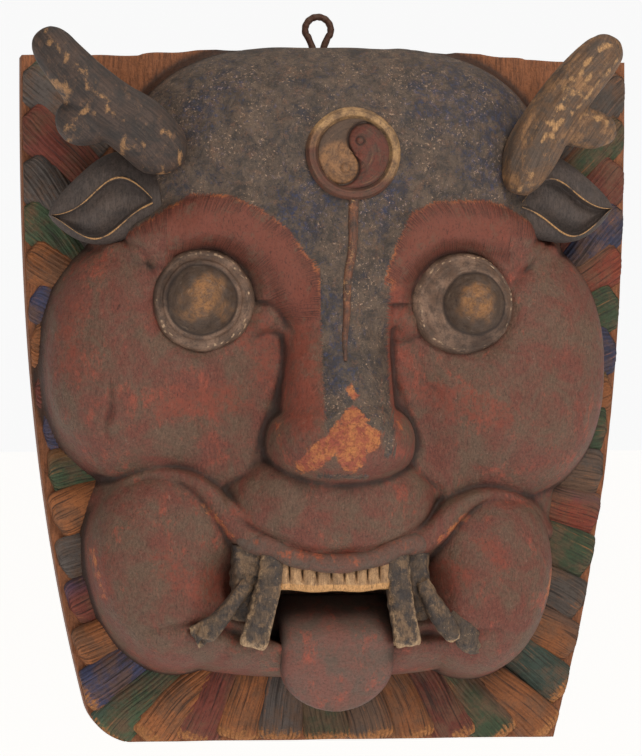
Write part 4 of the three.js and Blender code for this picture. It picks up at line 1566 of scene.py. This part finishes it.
@dataclass
class Tusk:
    """A tusk or the block it grows from: a rough run of (x, z, depth, half width, half depth)."""

    name: str
    path: tuple[tuple[float, ...], ...]
    worn: float = 0.3
    eroded: float = 0.0

    def build(self) -> Shell:
        """A superellipse section along the path, with a crumbling end where eroded is above 0."""
        line = spline(self.path, 70)

        def section(turn: Array, share: Array) -> tuple[Array, Array]:
            """A rounded square with soft facets, eaten away towards the end."""
            facet = 1 + 0.03 * np.sin(5 * turn + 9 * share) + 0.02 * np.sin(17 * share)
            bites = 0.5 + 0.5 * np.sin(6 * turn + 30 * share)
            crumb = 1 - self.eroded * smoothstep(share, 0.7, 1.0) * bites
            return boxy(np.cos(turn), 0.7) * facet * crumb, boxy(np.sin(turn), 0.7) * facet * crumb

        rings, turn, share = limb(line, section, 48)
        seed = 40 + len(self.name)
        rough = ripple(rings[..., 0] + rings[..., 1], rings[..., 2], 7.0, seed)
        rings = rings + 0.35 * rough[..., None]
        worn = self.worn + 0.35 * smoothstep(share, 0.75, 1.0) + 0.1 * np.sin(3 * turn)
        return ring_shell(rings, {"worn": worn, "deep": np.full(share.shape, 0.15)})


@dataclass
class Tusks:
    """Two tusks at each corner of the mouth, with the dark walls that the outer ones grow from."""

    runs: tuple[Tusk, ...] = (
        Tusk(
            "left_inner_tusk",
            (
                (-45, -108, 90, 9, 9), (-48, -124, 92, 9, 9), (-53, -143, 94, 9, 9),
                (-58, -161, 95, 9.5, 8), (-60, -168, 94, 9, 7),
            ),
            worn=0.38,
        ),
        Tusk(
            "left_mouth_wall",
            (
                (-60, -100, 80, 12, 13), (-61, -118, 79, 12, 12), (-63, -134, 78, 10, 11),
                (-65, -150, 74, 9, 9),
            ),
            worn=0.05,
        ),
        Tusk(
            "left_outer_tusk",
            (
                (-63, -126, 89, 5, 6), (-71, -137, 91, 5.5, 6), (-81, -149, 92, 6, 6),
                (-90, -157, 93, 8, 6), (-99, -162, 91, 8, 5),
            ),
            worn=0.1,
            eroded=0.5,
        ),
        Tusk(
            "right_inner_tusk",
            (
                (38, -108, 90, 8.5, 9), (40, -124, 92, 8.5, 9), (42, -143, 94, 8.5, 9),
                (45, -161, 95, 9, 8), (46, -168, 94, 9, 7),
            ),
            worn=0.38,
        ),
        Tusk(
            "right_mouth_wall",
            (
                (52, -100, 80, 10, 13), (53, -118, 79, 10, 12), (55, -136, 78, 8, 11),
                (57, -150, 74, 7, 9),
            ),
            worn=0.05,
        ),
        Tusk(
            "right_outer_tusk",
            (
                (57, -126, 89, 4.5, 5), (62, -137, 91, 6, 6), (69, -149, 92, 7, 6.5),
                (76, -160, 92, 6, 6), (79, -165, 91, 4, 4),
            ),
            worn=0.3,
            eroded=0.2,
        ),
        Tusk(
            "right_tusk_stump",
            (
                (76, -150, 80, 7, 10), (84, -158, 82, 9, 10), (92, -167, 80, 9, 9), (98, -174, 76, 7, 7),
            ),
            worn=0.0,
            eroded=0.5,
        ),
    )

    def build(self) -> list[bpy.types.Object]:
        """Each tusk as its own piece."""
        paint = WornPaint(
            name="tusk_paint",
            coat=rgb(60, 54, 52),
            patina=rgb(90, 74, 60),
            rub=rgb(126, 100, 76),
            wood=rgb(182, 150, 116),
            patina_size=7.0,
            rub_share=0.6,
            chip_share=1.3,
            grain=(1.0, 1.0, 4.0),
        )
        return [dress(piece(run.name, run.build()), paint) for run in self.runs]


@dataclass
class Tongue:
    """A broad tongue that comes out of the mouth and hangs over the lower lip."""

    x: float = -1.0
    half: float = 38.5
    root: float = -136.0
    tip: float = -213.5

    def build(self) -> bpy.types.Object:
        """Rings from the root to the tip: a flat superellipse that narrows to a half circle at the tip."""
        t = np.linspace(0, 1, 110)[:, None]
        turn = full_turn(110)
        z = self.root + (self.tip - self.root) * t
        from_tip = (z - self.tip) / 33.0
        narrow = np.sqrt(np.clip(1 - (1 - np.clip(from_tip, 0.004, 1)) ** 2.1, 0, 1))
        c = boxy(np.cos(turn), 0.8)
        s = boxy(np.sin(turn), 0.45)
        crest = 58.0 + 35.0 * np.sin(0.5 * np.pi * np.clip(t / 0.42, 0, 1)) - 7.0 * smoothstep(t, 0.6, 1.0)
        thick = 15.0 * (0.35 + 0.65 * narrow)
        dish = -0.8 * np.cos(turn) ** 2 * (s > 0)
        x = self.x + self.half * narrow * c + 0.8 * np.sin(4 * t)
        depth = crest - thick + thick * s - dish + 0.3 * ripple(x, z, 26.0, 51)
        edge = np.abs(np.cos(turn)) ** 6
        worn = 0.1 + 0.2 * edge * smoothstep(t, 0.4, 0.9)
        # Painted shade near the root, inside the mouth, and along the tongue's sides.
        deep = 0.8 * smoothstep(t, 0.45, 0.05) + 0.55 * edge
        paint = WornPaint(
            name="tongue_paint",
            coat=rgb(118, 76, 66),
            patina=rgb(98, 80, 70),
            rub=rgb(156, 78, 60),
            patina_size=20.0,
            patina_share=0.6,
            grain=(2.0, 1.0, 1.0),
            stroke=0.5,
        )
        shell = ring_shell(stack(x, z, depth), {"worn": worn + 0 * x, "deep": deep + 0 * x})
        return dress(piece("tongue", shell), paint)


# ---------------------------------------------------------------- horns, ears and hanger


@dataclass
class Horn:
    """A thick horn like an antler's beam with one blunt prong, melted together.

    The strokes (from, to, reach) say where the paint is worn off.
    """

    node: str
    beam: tuple[tuple[float, ...], ...]
    prong: tuple[tuple[float, ...], ...]
    paint: WornPaint
    strokes: tuple[Stroke, ...]
    fibre: float = 0.5

    def build(self) -> bpy.types.Object:
        """Two lofted runs joined by a fine remesh, then smoothed; grooves run along the beam."""

        def section(turn: Array, share: Array) -> tuple[Array, Array]:
            """A circle with shallow grooves."""
            groove = 1 + 0.03 * self.fibre * np.sin(9 * turn + 2 * np.sin(5 * share))
            return np.cos(turn) * groove, np.sin(turn) * groove

        beam, _, _ = limb(spline(self.beam, 60), section, 56)
        prong, _, _ = limb(spline(self.prong, 40), section, 48)
        made = piece(self.node + "_carving", joined([ring_shell(beam), ring_shell(prong)]))
        fuse(made, 1.3, 9)
        self.mark(made)
        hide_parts(self.node)
        return dress(made, self.paint)

    def mark(self, made: bpy.types.Object) -> None:
        """Gives the skin its lines, its worn strokes and painted shade on its parts nearest the wall."""
        mesh = made.data
        co = np.empty(len(mesh.vertices) * 3, np.float32)
        mesh.vertices.foreach_get("co", co)
        p = co.reshape(-1, 3) / MM
        x, z, depth = p[:, 0], p[:, 2], -p[:, 1]
        line = spline([station[:2] for station in self.beam], 60)
        away = np.hypot(x[:, None] - line[:, 0], z[:, None] - line[:, 1])
        near = away.argmin(axis=1)
        run = np.concatenate([[0], np.cumsum(np.linalg.norm(np.diff(line, axis=0), axis=1))])
        heading = np.gradient(line, axis=0)[near]
        offset = np.stack([x, z], axis=1) - line[near]
        across = heading[:, 0] * offset[:, 1] - heading[:, 1] * offset[:, 0]
        across = across / np.linalg.norm(heading, axis=1)
        lines = np.maximum.reduce([capsule(x, z, a, b, r) for a, b, r in self.strokes])
        worn = 0.2 + 0.2 * smoothstep(lines, -9.0, 0.0) + 0.12 * smoothstep(lines, -1.0, 1.0)
        worn = worn + 0.1 * ripple(x, z, 9.0, 61)
        # Painted shade on the parts of the horn nearest the wall, behind and under it.
        back = smoothstep(-depth, -78.0, -66.0)
        deep = 0.1 + 0.5 * back
        fields = {"worn": np.clip(worn, 0, 1), "deep": deep, "across": across, "along": run[near]}
        for label, value in fields.items():
            carry(mesh, label, value[:, None])


def fuse(made: bpy.types.Object, voxel: float, passes: int) -> None:
    """Melts the overlapping runs of a piece into one skin.

    Args:
        made: The piece, whose mesh is replaced.
        voxel: Size of the remesh in millimetres.
        passes: Rounds of smoothing afterwards.
    """
    melt = made.modifiers.new("melt", "REMESH")
    melt.mode = "VOXEL"
    melt.voxel_size = voxel * MM
    smooth = made.modifiers.new("smooth", "SMOOTH")
    smooth.factor = 0.6
    smooth.iterations = passes
    view = bpy.context.evaluated_depsgraph_get()
    mesh = bpy.data.meshes.new_from_object(made.evaluated_get(view))
    made.modifiers.clear()
    old = made.data
    made.data = mesh
    mesh.name = old.name
    bpy.data.meshes.remove(old)
    mesh.polygons.foreach_set("use_smooth", np.ones(len(mesh.polygons), bool))


@dataclass
class Ear:
    """A pointed leaf of an ear with a sunk hollow between two raised rims."""

    node: str
    tip: Spot
    root: Spot
    paint: WornPaint
    half: float = 30.0
    low: float = 50.0
    crest: float = 80.0

    def build(self) -> bpy.types.Object:
        """Rings along the leaf. t runs to the tip and s across; the hollow is a smaller leaf inside."""
        start, end = np.array(self.root), np.array(self.tip)
        along = end - start
        across = np.array([-along[1], along[0]]) / np.linalg.norm(along)
        if across[1] < 0:
            across = -across
        t = np.linspace(0, 1, 130)[:, None]
        turn = full_turn(240)
        s = np.cos(turn)
        front = np.sin(turn)
        leaf = np.maximum(np.sin(np.pi * (0.16 + 0.84 * t) ** 0.9) ** 0.68, 0.02)
        sway = 3.0 * np.sin(2 * np.pi * t) + 14.0 * t * (1 - t)
        x = start[0] + along[0] * t + across[0] * (self.half * leaf * s + sway)
        z = start[1] + along[1] * t + across[1] * (self.half * leaf * s + sway)
        level = (self.crest + self.low) / 2
        thick = (self.crest - self.low) / 2 * (0.3 + 0.7 * leaf)
        depth = level + thick * boxy(front, 0.8)
        pocket = np.sin(np.pi * np.clip((t - 0.07) / 0.93, 0, 1)) ** 0.8 * 0.56
        centre = -0.2 + 0.14 * np.sin(2 * np.pi * t)
        inside = pocket - np.abs(s - centre)
        sunk = smoothstep(inside, 0.0, 0.07) * (front > 0)
        lip = np.exp(-(((inside + 0.02) / 0.03) ** 2)) * (front > 0) * (pocket > 0.04)
        belly = 0.25 * (front > 0) * smoothstep(inside, 0.1, 0.45)
        depth = depth - 7.0 * sunk * (pocket / 0.5) ** 0.5 + 9.0 * belly * (pocket / 0.5) + 1.3 * lip
        depth = depth + 0.3 * ripple(x, z, 18.0, 71)
        worn = (0.74 + 0.16 * ripple(x, z, 14.0, 72)) * lip
        # Painted shade along the inner edge of the hollow and on the back.
        deep = 0.5 * np.exp(-(((inside - 0.05) / 0.05) ** 2)) * (front > 0) + 0.25 * (front < 0)
        shell = ring_shell(stack(x, z, depth), {"worn": worn, "deep": deep})
        made = piece(self.node + "_carving", shell)
        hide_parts(self.node)
        return dress(made, self.paint)


@dataclass
class Hanger:
    """The forged iron eye in the plank's top edge."""

    x: float = -4.0
    depth: float = 13.0
    wire: float = 2.4
    loop: float = 9.0
    middle: float = 255.0
    top: float = 235.0

    def build(self) -> bpy.types.Object:
        """A round rod along a loop whose two legs run together into the wood, a little uneven."""
        turn = np.linspace(-0.25, 1.25, 11) * np.pi
        ring = np.stack([self.x - self.loop * np.cos(turn), self.middle + self.loop * np.sin(turn)], axis=1)
        legs = np.array([[self.x - 2.6, self.top - 20], [self.x - 2.7, self.top + 2]])
        others = np.array([[self.x + 2.7, self.top + 2], [self.x + 2.6, self.top - 20]])
        line = spline(np.vstack([legs, ring, others]), 160)
        middle = stack(line[:, 0], line[:, 1], self.depth)
        along = np.gradient(middle, axis=0)
        along /= np.linalg.norm(along, axis=1, keepdims=True)
        out = np.array([0.0, -1.0, 0.0])
        side = np.cross(out, along)
        around = full_turn(24)[..., None]
        hammer = 1 + 0.05 * np.sin(np.arange(len(line)) * 0.55)[:, None, None]
        section = side[:, None] * np.cos(around) + out * np.sin(around)
        rings = middle[:, None] + self.wire * hammer * section
        made = piece("iron_eye", ring_shell(rings))
        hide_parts("hanging_eye")
        return dress(made, ForgedIron())


# ---------------------------------------------------------------- studio


@dataclass
class Studio:
    """A wide pale floor under an even sky, three soft lamps, and a long lens a little left of square.

    Sizes are in metres. The frame is as tall as frame_height at the wall plane, and rise is the
    height of the lens. The sky lights with its ambient colour and is seen as plain white.
    """

    azimuth: float = -8.0
    distance: float = 2.7
    frame_height: float = 0.5292
    rise: float = 0.0126
    sensor: float = 36.0
    floor_reach: float = 45.0
    floor_level: float = -0.9
    floor_glow: float = 0.68
    ambient: Colour = (1.0, 0.96, 0.9)
    ambient_strength: float = 0.34
    seen_strength: float = 0.95
    lamp_tint: Colour = (1.0, 0.955, 0.89)
    lamps: tuple[tuple[str, Place, float, float], ...] = (
        ("key", (0.75, -1.7, 1.35), 0.9, 27.0),
        ("fill", (-1.5, -1.9, 0.6), 1.4, 3.5),
        ("top", (0.2, 0.1, 1.9), 1.0, 6.0),
    )

    def camera(self) -> None:
        """A camera level with the plaque's middle, whose frame is as tall as frame_height at the wall."""
        data = bpy.data.cameras.new("camera")
        data.sensor_fit = "VERTICAL"
        data.sensor_height = self.sensor
        data.sensor_width = self.sensor
        data.lens = self.sensor * self.distance / self.frame_height
        data.clip_end = 100.0
        made = bpy.data.objects.new("camera", data)
        turn = math.radians(self.azimuth)
        made.location = (self.distance * math.sin(turn), -self.distance * math.cos(turn), self.rise)
        made.rotation_euler = (math.pi / 2, 0.0, turn)
        bpy.context.scene.collection.objects.link(made)
        bpy.context.scene.camera = made

    def room(self) -> None:
        """A wide, plain, pale floor well below the plaque."""
        reach, level = self.floor_reach, self.floor_level
        signs = ((-1, -1), (1, -1), (1, 1), (-1, 1))
        corners = [(a * reach, b * reach, level) for a, b in signs]
        mesh = bpy.data.meshes.new("room")
        mesh.from_pydata(corners, [], [(0, 1, 2, 3)])
        g = Graph("room_paint")
        g.shader.inputs["Base Color"].default_value = (0.9, 0.9, 0.9, 1.0)
        g.shader.inputs["Roughness"].default_value = 0.9
        g.shader.inputs["Emission Color"].default_value = (1.0, 1.0, 1.0, 1.0)
        g.shader.inputs["Emission Strength"].default_value = self.floor_glow
        mesh.materials.append(g.material)
        made = bpy.data.objects.new("room", mesh)
        bpy.context.scene.collection.objects.link(made)

    def lamp(self, name: str, place: Place, size: float, power: float) -> None:
        """A square soft lamp that looks at the plaque's middle.

        Args:
            name: The lamp's name.
            place: Where it stands, in metres.
            size: Its side.
            power: Its watts.
        """
        data = bpy.data.lights.new(name, "AREA")
        data.size = size
        data.energy = power
        data.color = self.lamp_tint
        made = bpy.data.objects.new(name, data)
        made.location = place
        x, y, z = place
        tilt = math.acos(z / np.linalg.norm(place))
        made.rotation_euler = (tilt, 0.0, math.atan2(y, x) + math.pi / 2)
        bpy.context.scene.collection.objects.link(made)

    def sky(self) -> None:
        """The world: a warm even light that the camera sees as white."""
        world = bpy.data.worlds.new("studio")
        bpy.context.scene.world = world
        world.use_nodes = True
        nodes, links = world.node_tree.nodes, world.node_tree.links
        ambient = next(n for n in nodes if n.type == "BACKGROUND")
        ambient.inputs["Color"].default_value = (*self.ambient, 1.0)
        ambient.inputs["Strength"].default_value = self.ambient_strength
        seen = nodes.new("ShaderNodeBackground")
        seen.inputs["Color"].default_value = (1.0, 1.0, 1.0, 1.0)
        seen.inputs["Strength"].default_value = self.seen_strength
        chosen = nodes.new("ShaderNodeMixShader")
        links.new(nodes.new("ShaderNodeLightPath").outputs["Is Camera Ray"], chosen.inputs["Fac"])
        links.new(ambient.outputs["Background"], chosen.inputs[1])
        links.new(seen.outputs["Background"], chosen.inputs[2])
        output = next(n for n in nodes if n.type == "OUTPUT_WORLD")
        links.new(chosen.outputs["Shader"], output.inputs["Surface"])

    def build(self) -> None:
        """Camera, floor, sky and lamps."""
        self.camera()
        self.room()
        self.sky()
        for name, place, size, power in self.lamps:
            self.lamp(name, place, size, power)
        bpy.context.scene.view_settings.view_transform = "Standard"
        bpy.context.scene.view_settings.look = "None"


# ---------------------------------------------------------------- the plaque

HORN_DARK = WornPaint(
    name="left_horn_paint",
    coat=rgb(76, 60, 52),
    patina=rgb(55, 48, 45),
    rub=rgb(112, 84, 64),
    wood=rgb(166, 124, 84),
    patina_size=13.0,
    rub_share=0.4,
    chip_share=0.9,
    combed=True,
    wide=1.3,
    long=22.0,
)
HORN_WORN = WornPaint(
    name="right_horn_paint",
    coat=rgb(106, 78, 56),
    patina=rgb(84, 70, 60),
    rub=rgb(142, 104, 70),
    wood=rgb(186, 142, 96),
    patina_size=13.0,
    patina_share=0.55,
    rub_share=0.6,
    chip_share=0.9,
    combed=True,
    wide=1.5,
    long=30.0,
)


def ear_paint(name: str) -> WornPaint:
    """The ears' charcoal paint."""
    return WornPaint(
        name=name,
        coat=rgb(80, 68, 62),
        patina=rgb(68, 60, 57),
        rub=rgb(92, 78, 70),
        wood=rgb(196, 150, 100),
        patina_size=24.0,
        rub_share=0.1,
        chip_share=-0.6,
        rough=0.68,
    )


LEFT_HORN = Horn(
    "left_horn",
    (
        (-112, 156, 82, 9, 12), (-119, 164, 85, 19, 19), (-135, 180, 88, 21.5, 21),
        (-154, 193, 90, 20, 20), (-172, 209, 92, 17.5, 18), (-187, 225, 92, 15.5, 15),
        (-195, 235, 91, 14, 13), (-199.5, 241, 90.5, 11, 10), (-202, 244.5, 90, 6.5, 6),
        (-202.8, 245.6, 90, 2, 2),
    ),
    (
        (-148, 191, 88, 13, 13), (-166, 187, 88, 17, 14), (-180, 184, 88, 16, 13),
        (-188, 182, 88, 11, 9), (-191.5, 181, 88, 4, 4),
    ),
    HORN_DARK,
    (
        ((-199, 242), (-192, 236), 0.4), ((-192, 236), (-190, 228), 0.4),
        ((-190, 228), (-178, 221), 0.7), ((-178, 221), (-173, 209), 0.5),
        ((-173, 209), (-162, 199), 0.4), ((-162, 199), (-156, 188), 0.2),
        ((-119, 176), (-111, 166), 0.8), ((-111, 166), (-109, 156), 0.8),
        ((-183, 180), (-177, 189), 0.5), ((-177, 189), (-169, 192), 0.5),
        ((-183, 180), (-184, 171), 0.4), ((-194, 210), (-186, 202), 3.0),
        ((-149, 168), (-147, 166), 2.0), ((-140, 169), (-138, 169), 0.8),
        ((-121, 149), (-119, 150), 1.6),
    ),
)
RIGHT_HORN = Horn(
    "right_horn",
    (
        (124, 140, 82, 8, 10), (126, 149, 85, 14, 17), (133, 167, 88, 18.5, 20),
        (146, 190, 90, 17.5, 19), (160, 210, 92, 16.5, 17), (174, 226, 92, 15.5, 14),
        (183, 236, 91, 13.5, 12), (186.5, 241.5, 90.5, 10.5, 9), (188.5, 245, 90, 6, 5),
        (189, 246, 90, 2, 2),
    ),
    (
        (146, 186, 88, 12, 12), (166, 184, 88, 14, 12), (181, 181, 88, 12.5, 11), (187, 178, 88, 8, 7),
        (190, 176, 88, 3, 3),
    ),
    HORN_WORN,
    (
        ((186, 240), (172, 232), 0.8), ((172, 232), (154, 208), 0.8), ((154, 208), (138, 176), 0.6),
        ((190, 230), (174, 212), 0.6), ((174, 212), (158, 192), 0.4), ((172, 222), (160, 205), 0.4),
        ((130, 150), (122, 140), 0.8), ((186, 186), (180, 190), 0.5), ((180, 190), (168, 192), 0.5),
        ((147, 187), (143, 178), 2.4),
    ),
    1.0,
)


def main() -> None:
    """Builds the studio and every piece of the plaque, in order."""
    logging.basicConfig(level=logging.INFO, format="%(message)s")
    Studio().build()
    lattice = ReliefMap(Relief())
    Panel(lattice).build()
    Mane(lattice).build()
    Eye("left_eye", -92.0, 65.0, -2.0, 23.0, -0.9, 0).build()
    Eye("right_eye", 85.0, 63.0, 7.0, 20.5, 2.6, 5).build()
    Roundel(lattice).build()
    Rib(lattice).build()
    UpperLip().build()
    Teeth().build()
    Tusks().build()
    Tongue().build()
    LEFT_HORN.build()
    RIGHT_HORN.build()
    Ear("left_ear", (-195, 123), (-120, 134), ear_paint("left_ear_paint")).build()
    Ear("right_ear", (193, 130), (122, 132), ear_paint("right_ear_paint")).build()
    Hanger().build()


if __name__ == "__main__":
    main()
